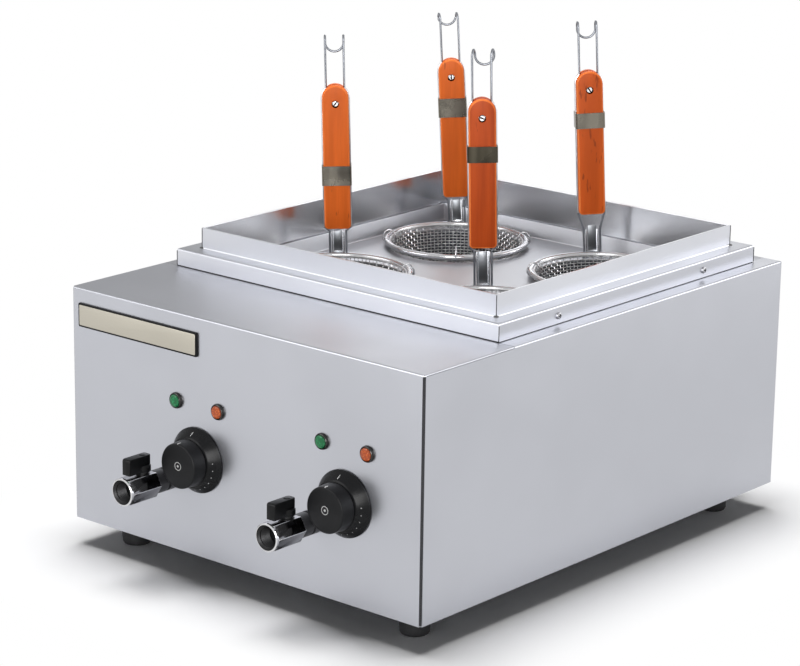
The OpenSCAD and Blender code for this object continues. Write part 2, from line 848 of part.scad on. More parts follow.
// Lever: a hub on the stem and a flat fin that points along the open waterway
module valve_lever(i) {
    chamfer = 3;
    top = lever_z + lever_h;
    color("#141416")
        at_valve(i)
            difference() {
                union() {
                    translate([0, 0, lever_z])
                        cylinder(r = hub_d / 2, h = lever_h);
                    translate([-lever_t / 2, 0, 0])
                        rotate([90, 0, 90])
                            linear_extrude(lever_t)
                                polygon([[0, lever_z], [-lever_l, lever_z], [-lever_l, top - chamfer],
                                    [chamfer - lever_l, top], [0, top]]);
                }
                translate([0, 0, lever_z - 1])
                    cylinder(r = stem_d / 2 + shaft_gap, h = lever_h + 2);
                translate([0, 0, screw_seat])
                    cylinder(r = lever_screw_r + slip, h = lever_h);
            }
}

module lever_screw(i) {
    color("dimgray")
        at_valve(i)
            translate([0, 0, screw_seat])
                cylinder(r = lever_screw_r, h = lever_screw_t);
}

// Places its children at a knob's axis on the panel's face
module at_knob(i) {
    translate([knob_at(i), front_y, knob_z])
        children();
}

// Thermostats behind the panel, with a bush that holds the shaft
module thermostats() {
    near = sheet_t + slip;
    color("ivory")
        for (i = [0 : 1])
            at_knob(i)
                difference() {
                    union() {
                        box([-thermostat_w / 2, thermostat_w / 2], [near, near + thermostat_d],
                            [-thermostat_h / 2, thermostat_h / 2]);
                        rod_y(bush_d / 2, [-bush_out, near + 1]);
                    }
                    rod_y(shaft_d / 2 + shaft_gap, [-bush_out - 1, near + shaft_in + 1]);
                }
}

// Nuts on the bushes, hidden under the bezels
module bush_nuts() {
    color("darkgray")
        for (i = [0 : 1])
            at_knob(i)
                difference() {
                    rod_y(bush_nut_d / 2, [-bush_nut_t, 0]);
                    rod_y(bush_d / 2 + slip, [-bush_nut_t - 1, 1]);
                }
}

// Conical dial bezels, hollow over the bush nuts
module dial_bezels() {
    rim_t = 2;
    color("#1c1c1e")
        for (i = [0 : 1])
            at_knob(i)
                difference() {
                    rotate([90, 0, 0])
                        rotate_extrude()
                            polygon([[0, 0], [bezel_d / 2, 0], [bezel_d / 2, rim_t],
                                [bezel_top_d / 2, bezel_h], [0, bezel_h]]);
                    rod_y(bush_nut_d / 2 + slip, [-bush_nut_t - slip, 1]);
                    rod_y(bush_d / 2 + slip, [-bezel_h - 1, 0]);
                }
}

// Knob with a rounded front edge and a blind bore for the shaft
module knob(i) {
    edge_r = 2;
    side_taper = 0.8;
    face_r = knob_d / 2 - side_taper;
    rear = bezel_h + knob_clear;
    edge = arc_points([face_r - edge_r, knob_out - edge_r], [1, 0], [0, 1], edge_r, 0, 90, 4);
    color("#202022")
        at_knob(i)
            difference() {
                rotate([90, 0, 0])
                    rotate_extrude()
                        polygon(concat([[0, rear], [knob_d / 2, rear]], edge, [[0, knob_out]]));
                rod_y(shaft_d / 2 + shaft_gap, [-rear - knob_bore_l, 0]);
            }
}

module thermostat_shaft(i) {
    tip = bezel_h + knob_clear + knob_bore_l - shaft_end_gap;
    color("gray")
        at_knob(i)
            rod_y(shaft_d / 2, [-tip, sheet_t + slip + shaft_in]);
}

// Places its children at the lamps of one colour: -1 left of the knob, 1 right of it
module at_lamps(s) {
    for (i = [0 : 1])
        translate([knob_at(i) + s * lamp_pitch / 2, front_y, lamp_z])
            children();
}

// Lamp bodies: a raised ring on the panel and a barrel behind it
module lamp_bodies() {
    barrel_l = 24;
    color("dimgray")
        for (s = [-1, 1])
            at_lamps(s)
                difference() {
                    union() {
                        rod_y(lamp_d / 2, [-lamp_flange_t, 0]);
                        rod_y(lamp_barrel_d / 2, [-1, barrel_l]);
                    }
                    rod_y(lamp_d / 2 - lamp_rim, [-lamp_flange_t - 1, -lens_seat]);
                }
}

module lens() {
    r = lamp_d / 2 - lamp_rim - slip;
    bevel = 1.4;
    rotate([90, 0, 0])
        rotate_extrude()
            polygon([[0, lens_seat], [r, lens_seat], [r, lens_out - bevel], [r - bevel, lens_out],
                [0, lens_out]]);
}

module green_lenses() {
    color("seagreen")
        at_lamps(-1)
            lens();
}

module amber_lenses() {
    color("peru")
        at_lamps(1)
            lens();
}

module name_plate() {
    color("tan")
        box([plate_inset - half_w, plate_inset + plate_w - half_w], [front_y - plate_t, front_y],
            [top_z - plate_drop - plate_h, top_z - plate_drop]);
}

// Cable gland through the rear panel, with its lock nut inside
module cable_gland() {
    flange_t = 6;
    color("#303034")
        translate([gland_x, rear_y, gland_z]) {
            difference() {
                union() {
                    hex_y(gland_nut_r, [0, flange_t]);
                    rod_y(gland_nut_r - gland_cap_step, [flange_t - 1, gland_out]);
                    rod_y(gland_barrel_r, [-gland_inside, 1]);
                }
                rod_y(gland_bore_d / 2, [-gland_inside - 1, gland_out + 1]);
            }
            difference() {
                hex_y(gland_nut_r, [-sheet_t - slip - gland_nut_t, -sheet_t - slip]);
                rod_y(gland_barrel_r + slip, [-sheet_t - slip - gland_nut_t - 1, 0]);
            }
        }
}

// Terminal block on the base plate, with a row of clamping screws sunk into its top
module terminal_block() {
    way = block_size[0] / block_ways;
    step_h = 8;
    step_w = 4;
    clamp_r = 2.4;
    clamp_sink = 6;
    wide = block_size[0] / 2;
    deep = block_size[1] / 2;
    color("whitesmoke")
        translate([gland_x, rear_y - sheet_t - block_behind, base_top])
            difference() {
                box([-wide, wide], [-deep, deep], [0, block_size[2]]);
                for (s = [-1, 1])
                    translate([0, s * deep, block_size[2] - step_h])
                        box([-wide - 1, wide + 1], [-step_w, step_w], [0, step_h + 1]);
                for (k = [0 : block_ways - 1])
                    translate([(k + 0.5) * way - wide, 0, block_size[2] - clamp_sink])
                        cylinder(r = clamp_r, h = clamp_sink + 1);
            }
}

// Places its children at a basket, with the ring's middle at the origin and the handle along +Y
module at_basket(i) {
    translate(basket_at(i))
        rotate([0, 0, handle_turn[i]])
            children();
}

// Places its children at a handle, leaning sideways about its foot on the ring
module at_handle(i) {
    at_basket(i)
        translate([0, wire_y, 0])
            rotate([0, -handle_lean[i], 0])
                children();
}

// Ring with three half-round wire clips and the folded bracket that takes the handle wire
module basket_ring(i) {
    color("silver") {
        at_basket(i) {
            rotate_extrude($fn = 96)
                translate([ring_r, 0])
                    circle(d = ring_bar_d);
            for (a = [0, 180, 270])
                rotate([0, 0, a])
                    translate([ring_r, 0, 0])
                        rotate([90, 90, 0])
                            rotate_extrude(angle = 180)
                                translate([(ring_bar_d + clip_d) / 2 + slip, 0])
                                    circle(d = clip_d);
        }
        at_handle(i)
            bracket(bracket_top(i));
    }
}

// Bracket: a sheet folded up round both wires, with a raised tongue on its inner face
module bracket(top) {
    tongue_w = bracket_w / 2;
    tongue_t = 0.8;
    inner = bracket_y - wire_y;
    outer = wire_r + slip + bracket_t;
    low = -bracket_low;
    box([-bracket_w / 2, bracket_w / 2], [inner, inner + bracket_t], [low, top]);
    box([-bracket_w / 2, bracket_w / 2], [outer - bracket_t, outer], [low, top]);
    box([-bracket_w / 2, bracket_w / 2], [inner, outer], [low, low + bracket_t]);
    box([-tongue_w / 2, tongue_w / 2], [inner - tongue_t, inner], [ring_bar_d / 2 + 1, top]);
}

// Woven bowl, as one closed wall with the bowl's true outline
module bowl(i) {
    rim_r = ring_r - ring_bar_d / 2 - slip;
    depth = ring_z - floor_z - bowl_clear;
    color("lightgray")
        at_basket(i)
            rotate_extrude($fn = 96)
                polygon(concat(bowl_line(rim_r, depth, 0),
                    reverse_points(bowl_line(rim_r, depth, bowl_wall))));
}

// Outline of the bowl from its rim to the middle of its bottom, moved inwards by a wall
function bowl_line(rim_r, depth, wall) =
    let (shoulder_r = rim_r - bowl_taper - wall, shoulder_z = bowl_round_h - depth)
    concat([[rim_r - wall, 0]],
        [for (k = [0 : 8]) let (a = 90 * k / 8)
            [k == 8 ? 0 : shoulder_r * cos(a), shoulder_z - (bowl_round_h - wall) * sin(a)]]);
function reverse_points(p) = [for (k = [len(p) - 1 : -1 : 0]) p[k]];

// Left half of the handle wire, from the bracket up to the middle of the folded loop
function wire_half(i, skew) = let (peak = grip_top(i) + loop_rise) concat(
    [[-bracket_wire_w / 2, 0, bracket_t - bracket_low + slip], [-bracket_wire_w / 2, 0, bracket_top(i)]],
    [[-groove_x, 0, grip_rise[i]]],
    arc_points([0, 0, grip_top(i) - grip_w / 2], [-1, 0, 0], [0, 0, 1], groove_x, 0, loop_leave, 4),
    [for (k = [0 : 6]) let (a = 30 * k)
        [skew * k / 6 - loop_w / 2, loop_fold_r * (1 - cos(a)), peak - loop_fold_r + loop_fold_r * sin(a)]],
    arc_points([skew, 2 * loop_fold_r, peak - loop_dip + loop_w / 2], [-1, 0, 0], [0, 0, -1],
        loop_w / 2, 0, 75, 4));
function wire_path(i, skew) = concat(wire_half(i, skew),
    [[skew, 2 * loop_fold_r, grip_top(i) + loop_rise - loop_dip]],
    [for (p = reverse_points(wire_half(i, -skew))) [-p[0], p[1], p[2]]]);

module handle_wire(i) {
    color("gray")
        at_handle(i)
            tube(wire_path(i, loop_skew[i]), wire_d, wire_sides, [0, 1, 0]);
}

// Slab of the grip, with a round top and rounded lower corners
module grip_slab(low, top) {
    r = grip_w / 2;
    corner = grip_corner_r;
    y = [-grip_t / 2, grip_t / 2];
    translate([0, 0, top - r])
        rod_y(r, y);
    box([-r, r], y, [low + corner, top - r]);
    box([corner - r, r - corner], y, [low, low + corner]);
    for (s = [-1, 1])
        translate([s * (r - corner), 0, low + corner])
            rod_y(corner, y);
}

// Wooden grip with a groove round its edge for the wire, and a hanging hole
module grip(i) {
    groove_w = wire_d + 4 * slip;
    low = grip_rise[i];
    top = grip_top(i);
    color("chocolate")
        at_handle(i)
            difference() {
                grip_slab(low, top);
                difference() {
                    box([-grip_w, grip_w], [-groove_w / 2, groove_w / 2], [low - 1, top + 1]);
                    box([groove_depth - grip_w / 2, grip_w / 2 - groove_depth], [-groove_w, groove_w],
                        [low - 2, top - grip_w / 2]);
                    translate([0, 0, top - grip_w / 2])
                        rod_y(grip_w / 2 - groove_depth, [-groove_w, groove_w]);
                }
                translate([0, 0, top - hang_hole_drop])
                    rod_y(hang_hole_d / 2, [-grip_t, grip_t]);
            }
}

// Steel band closed round the grip and the wire
module grip_band(i) {
    x = grip_w / 2 + slip;
    y = grip_t / 2 + slip;
    top = grip_top(i) - band_drop[i];
    color("dimgray")
        at_handle(i)
            difference() {
                box([-x - band_t, x + band_t], [-y - band_t, y + band_t], [top - band_h[i], top]);
                box([-x, x], [-y, y], [top - band_h[i] - 1, top + 1]);
            }
}

front_cover();
left_side_panel();
right_side_panel();
rear_panel();
base_plate();
rubber_feet();
foot_screws();
top_surround();
surround_screws();
rear_screws();
tank();
heating_elements();
tank_fittings();
sensor_bulbs();
drain_pipes();
drain_lock_nuts();
valve_bodies();
valve_tails();
thermostats();
bush_nuts();
dial_bezels();
lamp_bodies();
green_lenses();
amber_lenses();
name_plate();
cable_gland();
terminal_block();
basket_tray();
for (i = [0 : 1]) {
    valve_ball(i);
    valve_stem(i);
    valve_lever(i);
    lever_screw(i);
    knob(i);
    thermostat_shaft(i);
}
for (i = [0 : 3]) {
    basket_ring(i);
    bowl(i);
    handle_wire(i);
    grip(i);
    grip_band(i);
}
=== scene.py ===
"""Looks of a counter-top pasta cooker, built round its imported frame.

Sizes in the dataclasses are millimetres, as in the part's source, and MM turns them into Blender's metres.
"""

import json
import logging
import math
from dataclasses import dataclass, field
from enum import Enum, StrEnum
from typing import Callable, Sequence, Union

import bpy
import numpy as np
from mathutils import Matrix, Quaternion, Vector


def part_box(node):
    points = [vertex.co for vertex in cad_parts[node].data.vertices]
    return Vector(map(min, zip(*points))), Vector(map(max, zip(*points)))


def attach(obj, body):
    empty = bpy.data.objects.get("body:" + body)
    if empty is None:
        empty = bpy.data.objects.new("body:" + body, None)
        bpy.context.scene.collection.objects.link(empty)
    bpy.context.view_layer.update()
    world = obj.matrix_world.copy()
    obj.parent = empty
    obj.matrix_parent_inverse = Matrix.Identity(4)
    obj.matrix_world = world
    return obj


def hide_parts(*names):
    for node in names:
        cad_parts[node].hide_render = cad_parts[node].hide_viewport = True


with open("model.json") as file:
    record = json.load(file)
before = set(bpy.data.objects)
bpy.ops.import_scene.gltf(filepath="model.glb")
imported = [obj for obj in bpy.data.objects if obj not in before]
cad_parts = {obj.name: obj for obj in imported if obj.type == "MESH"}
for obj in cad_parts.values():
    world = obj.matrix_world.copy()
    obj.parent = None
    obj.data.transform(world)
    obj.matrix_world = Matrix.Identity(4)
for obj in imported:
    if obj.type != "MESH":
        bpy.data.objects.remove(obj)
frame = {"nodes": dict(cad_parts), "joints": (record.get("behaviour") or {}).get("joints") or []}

LOG = logging.getLogger("pasta_cooker")
MM = 0.001
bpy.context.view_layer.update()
SCREW_HEAD = 3.2
X_AXIS = Vector((1.0, 0.0, 0.0))
Y_AXIS = Vector((0.0, 1.0, 0.0))
Z_AXIS = Vector((0.0, 0.0, 1.0))

Triple = tuple[float, float, float]
Pair = tuple[float, float]
Value = Union[float, tuple, "Sock"]
Test = Callable[[Vector, Vector], bool]


class Side(StrEnum):
    """Side of the case, as its nodes are named."""

    LEFT = "left"
    RIGHT = "right"


def joint_place(name: str) -> Vector:
    """Finds where a joint of the frame stands.

    Args:
        name: the joint's name.

    Returns:
        The joint's place in metres.
    """
    return Vector(next(j["pos_m"] for j in frame["joints"] if j["name"] == name))


class Sock:
    """A shader socket that takes part in Python arithmetic."""

    def __init__(self, graph: "Graph", socket: bpy.types.NodeSocket) -> None:
        """Keeps the socket and the graph that new Math nodes go into."""
        self.graph = graph
        self.socket = socket

    def math(self, operation: str, *values: Value) -> "Sock":
        """Adds one Math node.

        Args:
            operation: the Math node's operation.
            values: its inputs in order.

        Returns:
            The node's result.
        """
        made = self.graph.node("ShaderNodeMath", {"operation": operation}, dict(enumerate(values)))
        return Sock(self.graph, made.outputs[0])

    def __add__(self, other: Value) -> "Sock":
        """Sum of two values."""
        return self.math("ADD", self, other)

    def __radd__(self, other: Value) -> "Sock":
        """Sum with the number first."""
        return self.math("ADD", other, self)

    def __sub__(self, other: Value) -> "Sock":
        """Difference of two values."""
        return self.math("SUBTRACT", self, other)

    def __rsub__(self, other: Value) -> "Sock":
        """Difference with the number first."""
        return self.math("SUBTRACT", other, self)

    def __mul__(self, other: Value) -> "Sock":
        """Product of two values."""
        return self.math("MULTIPLY", self, other)

    def __rmul__(self, other: Value) -> "Sock":
        """Product with the number first."""
        return self.math("MULTIPLY", other, self)

    def __pow__(self, other: Value) -> "Sock":
        """Power of a value."""
        return self.math("POWER", self, other)

    def __rpow__(self, other: Value) -> "Sock":
        """Power of a number."""
        return self.math("POWER", other, self)

    def step(self, low: float, high: float) -> "Sock":
        """Smooth step from 0 at low to 1 at high.

        Args:
            low: value at which the step starts.
            high: value at which it ends.

        Returns:
            The stepped value.
        """
        made = self.graph.node(
            "ShaderNodeMapRange",
            {"interpolation_type": "SMOOTHSTEP"},
            {"Value": self, "From Min": low, "From Max": high},
        )
        return Sock(self.graph, made.outputs["Result"])


class Graph:
    """A node tree that is filled from code."""

    def __init__(self, tree: bpy.types.NodeTree) -> None:
        """Empties the tree."""
        self.tree = tree
        self.tree.nodes.clear()

    def node(self, kind: str, settings: dict | None = None, inputs: dict | None = None) -> bpy.types.Node:
        """Adds any node.

        Args:
            kind: the node's type.
            settings: its own settings, set first.
            inputs: values or sockets for its inputs, by name or number.

        Returns:
            The new node.
        """
        made = self.tree.nodes.new(kind)
        for key, value in (settings or {}).items():
            setattr(made, key, value)
        for key, value in (inputs or {}).items():
            self.feed(made.inputs[key], value)
        return made

    def feed(self, socket: bpy.types.NodeSocket, value: Value) -> None:
        """Links a socket, or sets its own value.

        Args:
            socket: the input.
            value: a socket to link, or the input's value.
        """
        if isinstance(value, Sock):
            self.tree.links.new(value.socket, socket)
        elif isinstance(value, tuple) and len(value) == 3 and socket.type == "RGBA":
            socket.default_value = (*value, 1.0)
        else:
            socket.default_value = value

    def out(self, made: bpy.types.Node, name: Union[str, int] = 0) -> Sock:
        """Wraps one output of a node."""
        return Sock(self, made.outputs[name])

    def mix(self, factor: Value, a: Value, b: Value) -> Sock:
        """Blends two colours.

        Args:
            factor: 0 for the first colour, 1 for the second.
            a: first colour.
            b: second colour.

        Returns:
            The blended colour.
        """
        made = self.node("ShaderNodeMix", {"data_type": "RGBA"}, {0: factor, 6: a, 7: b})
        return Sock(self, made.outputs[2])


class Shader(Graph):
    """A material round one Principled shader."""

    def __init__(self, name: str) -> None:
        """Makes the material, its shader and its output.

        Args:
            name: the material's name.
        """
        self.material = bpy.data.materials.new(name)
        self.material.use_nodes = True
        super().__init__(self.material.node_tree)
        self.bsdf = self.node("ShaderNodeBsdfPrincipled")
        surface = self.out(self.bsdf, "BSDF")
        self.output = self.node("ShaderNodeOutputMaterial", None, {"Surface": surface})

    def place(self, scale: Triple, centre: Triple = (0.0, 0.0, 0.0)) -> Sock:
        """Object coordinates, stretched.

        Args:
            scale: factor along each axis.
            centre: shift along each axis, after scaling.

        Returns:
            The coordinates.
        """
        where = self.out(self.node("ShaderNodeTexCoord"), "Object")
        made = self.node("ShaderNodeMapping", None, {"Vector": where, "Location": centre, "Scale": scale})
        return self.out(made)

    def noise(self, scale: Triple, detail: float = 2.0) -> Sock:
        """Smooth noise between about 0 and 1.

        Args:
            scale: cells per metre along each axis.
            detail: octaves.

        Returns:
            The noise.
        """
        inputs = {"Vector": self.place(scale), "Scale": 1.0, "Detail": detail}
        return self.out(self.node("ShaderNodeTexNoise", None, inputs), "Fac")

    def bump(self, height: Sock, strength: float, distance: float) -> Sock:
        """Normal of a surface that is raised by a height.

        Args:
            height: the height, from 0 to 1.
            strength: share of the effect.
            distance: height of 1 in metres.

        Returns:
            The bent normal.
        """
        made = self.node(
            "ShaderNodeBump", None, {"Height": height, "Strength": strength, "Distance": distance}
        )
        return self.out(made)

    def dress(self, **inputs: Value) -> bpy.types.Material:
        """Sets the Principled shader's inputs.

        Args:
            inputs: values or sockets, by the input's name with underscores for spaces.

        Returns:
            The finished material.
        """
        for key, value in inputs.items():
            self.feed(self.bsdf.inputs[key.replace("_", " ")], value)
        return self.material


class Grain(Enum):
    """How a metal surface was worked."""

    ROLLED = "rolled"
    DRAWN = "drawn"
    CAST = "cast"


@dataclass(frozen=True)
class Metal:
    """A bare metal: rolled sheet with level brush lines, drawn wire, or a cast or turned piece."""

    name: str
    tone: Triple
    roughness: float
    grain: Grain = Grain.CAST
    streak: float = 0.05
    cloud: float = 0.06
    relief: float = 0.05
    patch: Triple = (7.0, 7.0, 9.0)
    # The tone is darkened below this height, as painted shade under the tray, to the share given next.
    shade_height: float | None = None
    stain: float = 0.78

    def material(self) -> bpy.types.Material:
        """Builds the metal.

        Returns:
            A metallic material with brush lines, clouding and light handling marks.
        """
        sh = Shader(self.name)
        clouds = sh.noise(self.patch, 2.0)
        smears = sh.noise((24.0, 24.0, 30.0), 3.0)
        if self.grain is Grain.ROLLED:
            facing = sh.out(sh.node("ShaderNodeNewGeometry"), "Normal")
            up = sh.out(sh.node("ShaderNodeSeparateXYZ", None, {0: facing}), "Z")
            flat = up.math("ABSOLUTE", up).step(0.6, 0.8)
            walls = sh.noise((5.0, 5.0, 1500.0))
            tops = sh.noise((4.0, 1500.0, 4.0))
            lines = walls + (tops - walls) * flat
        elif self.grain is Grain.DRAWN:
            lines = sh.noise((900.0, 900.0, 60.0))
        else:
            lines = sh.noise((700.0, 700.0, 700.0))
        dull = tuple(c * (1.0 - self.cloud) for c in self.tone)
        worn = self.roughness + (lines - 0.5) * self.streak + (smears - 0.5) * (1.5 * self.cloud)
        colour = sh.mix(clouds.step(0.3, 0.7), dull, self.tone)
        # Painted shade: under the tray the tone drops to a share of itself.
        if self.shade_height is not None:
            height = sh.out(sh.node("ShaderNodeSeparateXYZ", None, {0: sh.place((1.0, 1.0, 1.0))}), "Z")
            shaded_tone = tuple(self.stain * c for c in self.tone)
            colour = sh.mix(height.step(self.shade_height - 4 * MM, self.shade_height), shaded_tone, colour)
        return sh.dress(
            Base_Color=colour,
            Metallic=1.0,
            Roughness=worn,
            Normal=sh.bump(lines, self.relief, 0.02 * MM),
        )


@dataclass(frozen=True)
class Moulding:
    """A moulded plastic or rubber with a fine skin."""

    name: str
    tone: Triple
    roughness: float
    skin: float = 0.15
    skin_scale: float = 1400.0
    coat: float = 0.0
    gloss: float = 0.4

    def material(self) -> bpy.types.Material:
        """Builds the plastic.

        Returns:
            A material with a fine moulded skin and faint scuffs.
        """
        sh = Shader(self.name)
        skin = sh.noise((self.skin_scale,) * 3, 2.0)
        scuffs = sh.noise((60.0, 60.0, 60.0), 4.0).step(0.5, 0.75)
        pale = tuple(min(1.0, c * 1.35 + 0.004) for c in self.tone)
        return sh.dress(
            Base_Color=sh.mix(scuffs * 0.5, self.tone, pale),
            Specular_IOR_Level=self.gloss,
            Roughness=self.roughness + scuffs * 0.06 + (skin - 0.5) * 0.08,
            Coat_Weight=self.coat,
            Coat_Roughness=0.12,
            Normal=sh.bump(skin, self.skin, 0.03 * MM),
        )


@dataclass(frozen=True)
class StainedWood:
    """Stained and varnished hardwood, grained along Z."""

    name: str
    light: Triple
    dark: Triple
    pore: Triple
    gloss: float = 0.2
    fleck: float = 0.69

    def material(self) -> bpy.types.Material:
        """Builds the wood.

        Returns:
            A material with long grain, pores and small dark flecks.
        """
        sh = Shader(self.name)
        figure = sh.noise((90.0, 90.0, 7.0), 3.0)
        pores = sh.noise((1500.0, 1500.0, 45.0), 2.0)
        flecks = sh.noise((260.0, 260.0, 55.0), 2.0).step(self.fleck, self.fleck + 0.07)
        grained = sh.mix(figure.step(0.34, 0.66), self.dark, self.light)
        pored = sh.mix(pores.step(0.52, 0.72) * 0.4, grained, self.dark)
        return sh.dress(
            Base_Color=sh.mix(flecks * 0.55, pored, self.pore),
            Roughness=0.46 + (pores - 0.5) * 0.2,
            Specular_IOR_Level=self.gloss,
            Normal=sh.bump(pores, 0.25, 0.06 * MM),
        )


@dataclass(frozen=True)
class LampLens:
    """Clear coloured plastic over a faceted reflector."""

    name: str
    deep: Triple
    bright: Triple

    def material(self) -> bpy.types.Material:
        """Builds the lens.

        Returns:
            A glossy material with painted glints of its facets and painted shade towards its rim.
        """
        sh = Shader(self.name)
        cells = sh.node("ShaderNodeTexVoronoi", None, {"Vector": sh.place((1.0, 1.0, 1.0)), "Scale": 640.0})
        # Painted glints: Voronoi cells lift the colour to the bright tone, and also bump the surface.
        painted_glint = sh.out(cells, "Distance").step(0.55, 0.05)
        facing = sh.out(sh.node("ShaderNodeNewGeometry"), "Normal")
        ahead = -1.0 * sh.out(sh.node("ShaderNodeSeparateXYZ", None, {0: facing}), "Y")
        # Painted shade: where the lens turns away from the front, its colour darkens to a quarter of the deep
        # tone.
        rim = tuple(0.25 * c for c in self.deep)
        lit = sh.mix(painted_glint, self.deep, self.bright)
        return sh.dress(
            Base_Color=sh.mix(ahead.step(0.35, 0.97), rim, lit),
            Roughness=0.16,
            Specular_IOR_Level=0.3,
            Coat_Weight=0.15,
            Coat_Roughness=0.05,
            Normal=sh.bump(painted_glint, 0.25, 0.2 * MM),
        )


class Palette:
    """Every finish of the cooker, made once."""

    def __init__(self) -> None:
        """Builds all the materials."""
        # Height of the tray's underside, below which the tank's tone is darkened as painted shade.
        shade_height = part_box("basket_tray")[0].z
        bands = (60.0, 60.0, 3.0)
        self.sheet = Metal(
            "brushed_sheet", (0.51, 0.52, 0.56), 0.31, Grain.ROLLED, 0.05, 0.05, 0.015
        ).material()
        self.tank = Metal(
            "tank_sheet", (0.78, 0.79, 0.82), 0.24, Grain.ROLLED, 0.05, 0.07, 0.02, shade_height=shade_height
        ).material()
        self.deck = Metal(
            "deck_sheet", (0.52, 0.53, 0.57), 0.42, Grain.ROLLED, 0.05, 0.05, 0.015
        ).material()
        self.ledge = Metal(
            "ledge_sheet", (0.54, 0.55, 0.585), 0.4, Grain.ROLLED, 0.05, 0.05, 0.015
        ).material()
        self.tray = Metal(
            "tray_sheet", (0.53, 0.54, 0.57), 0.46, Grain.ROLLED, 0.05, 0.06, 0.02
        ).material()
        # Painted light: lighter copies of the brushed sheet, one for the upstand's outer faces and the
        # skirt's front, and a lighter one still for the upstand's inward faces.
        self.upstand = Metal(
            "lit_upstand_sheet", (0.65, 0.66, 0.7), 0.34, Grain.ROLLED, 0.05, 0.05, 0.015
        ).material()
        self.inner = Metal(
            "lit_inner_sheet", (0.86, 0.87, 0.9), 0.42, Grain.ROLLED, 0.05, 0.05, 0.015
        ).material()
        self.base = Metal("base_sheet", (0.5, 0.51, 0.53), 0.38, Grain.ROLLED).material()
        self.screw = Metal("screw_steel", (0.45, 0.45, 0.47), 0.28).material()
        self.bar = Metal("ring_bar", (0.54, 0.54, 0.555), 0.2, Grain.CAST, 0.04, 0.08).material()
        self.wire = Metal("handle_wire", (0.26, 0.27, 0.295), 0.34, Grain.DRAWN).material()
        # The handle wire is paler where it runs along the grip.
        self.grip_run_wire = Metal("grip_run_wire", (0.66, 0.66, 0.68), 0.3, Grain.DRAWN).material()
        self.pin = Metal("pin_steel", (0.74, 0.74, 0.76), 0.3).material()
        self.mesh = Metal("bowl_mesh", (0.68, 0.68, 0.69), 0.36, Grain.CAST, 0.04, 0.1).material()
        self.bracket = Metal("bracket_sheet", (0.38, 0.39, 0.41), 0.22, Grain.DRAWN).material()
        self.tongue = Metal("bracket_tongue", (0.26, 0.27, 0.285), 0.32, Grain.DRAWN).material()
        self.band = Metal(
            "grip_band", (0.25, 0.228, 0.188), 0.26, Grain.DRAWN, 0.1, 0.5, 0.05, bands
        ).material()
        self.dark_band = Metal(
            "dark_grip_band", (0.085, 0.075, 0.055), 0.22, Grain.DRAWN, 0.1, 0.7, 0.05, bands
        ).material()
        # Painted light: a dark copy of the valve's plating for its flats and a light copy for its edges and
        # front ring stand in for its reflections, and a near-black finish stands in for the shade in its
        # bore.
        self.shaded_plating = Metal(
            "valve_plating", (0.23, 0.23, 0.24), 0.14, Grain.CAST, 0.03, 0.05, 0.03
        ).material()
        self.lit_plating = Metal(
            "lit_edge_plating", (0.66, 0.66, 0.67), 0.14, Grain.CAST, 0.03, 0.05, 0.03
        ).material()
        self.bore = Metal("valve_bore_shade", (0.035, 0.035, 0.036), 0.45).material()
        self.brass = Metal("fitting_brass", (0.72, 0.52, 0.24), 0.3).material()
        self.copper = Metal("sensor_copper", (0.72, 0.4, 0.26), 0.32, Grain.DRAWN).material()
        self.element = Metal("element_sheath", (0.2, 0.2, 0.2), 0.42, Grain.CAST, 0.1, 0.25).material()
        self.champagne = Metal("plate_inlay", (0.52, 0.49, 0.42), 0.34, Grain.ROLLED).material()
        self.lamp_ring = Metal("lamp_ring", (0.06, 0.058, 0.056), 0.24).material()
        self.knob = Moulding(
            "knob_plastic", (0.007, 0.0072, 0.008), 0.36, 0.15, 1400.0, 0.0, 0.16
        ).material()
        self.bezel = Moulding(
            "bezel_plastic", (0.005, 0.0052, 0.0058), 0.26, 0.05, 900.0, 0.0, 0.14
        ).material()
        self.lever = Moulding(
            "lever_plastic", (0.004, 0.0042, 0.0046), 0.3, 0.1, 1400.0, 0.0, 0.16
        ).material()
        self.rubber = Moulding("foot_rubber", (0.012, 0.012, 0.013), 0.62, 0.3).material()
        # Dark nut finish, also laid on the valve tails as painted shade.
        self.nut = Moulding("dark_nut", (0.02, 0.02, 0.022), 0.4).material()
        self.gland = Moulding("gland_nylon", (0.02, 0.02, 0.022), 0.5, 0.2).material()
        self.ceramic = Moulding("thermostat_housing", (0.7, 0.66, 0.55), 0.5).material()
        self.nylon = Moulding("block_nylon", (0.75, 0.75, 0.72), 0.48).material()
        self.print = Moulding("white_print", (0.42, 0.42, 0.42), 0.5).material()
        # Painted shade: a near-black finish for the open joints of the case and the collar and for the
        # screws' slots.
        self.joint = Moulding("joint_gap_shade", (0.02, 0.02, 0.023), 0.6).material()
        self.wood = StainedWood(
            "stained_wood", (0.71, 0.132, 0.013), (0.57, 0.1, 0.009), (0.14, 0.024, 0.005)
        ).material()
        # Painted highlight: a lighter copy of the stained wood for the grips' rounded edges.
        self.rounded = StainedWood(
            "edge_highlight_wood", (0.78, 0.19, 0.04), (0.66, 0.14, 0.024), (0.2, 0.04, 0.01)
        ).material()
        self.deep_wood = StainedWood(
            "deep_wood", (0.49, 0.07, 0.007), (0.37, 0.048, 0.004), (0.1, 0.016, 0.004)
        ).material()
        self.worn_wood = StainedWood(
            "worn_wood", (0.61, 0.1, 0.012), (0.48, 0.075, 0.008), (0.09, 0.016, 0.004), 0.2, 0.61
        ).material()
        # Painted shade: near-black wood for the walls of the grips' holes and the slots of their pins.
        self.recess_shade_wood = StainedWood(
            "recess_shade_wood", (0.05, 0.01, 0.004), (0.03, 0.007, 0.003), (0.02, 0.005, 0.003), 0.0
        ).material()
        self.green = LampLens("green_lens", (0.003, 0.1, 0.032), (0.01, 0.27, 0.09)).material()
        self.amber = LampLens("amber_lens", (0.3, 0.05, 0.01), (0.62, 0.14, 0.022)).material()


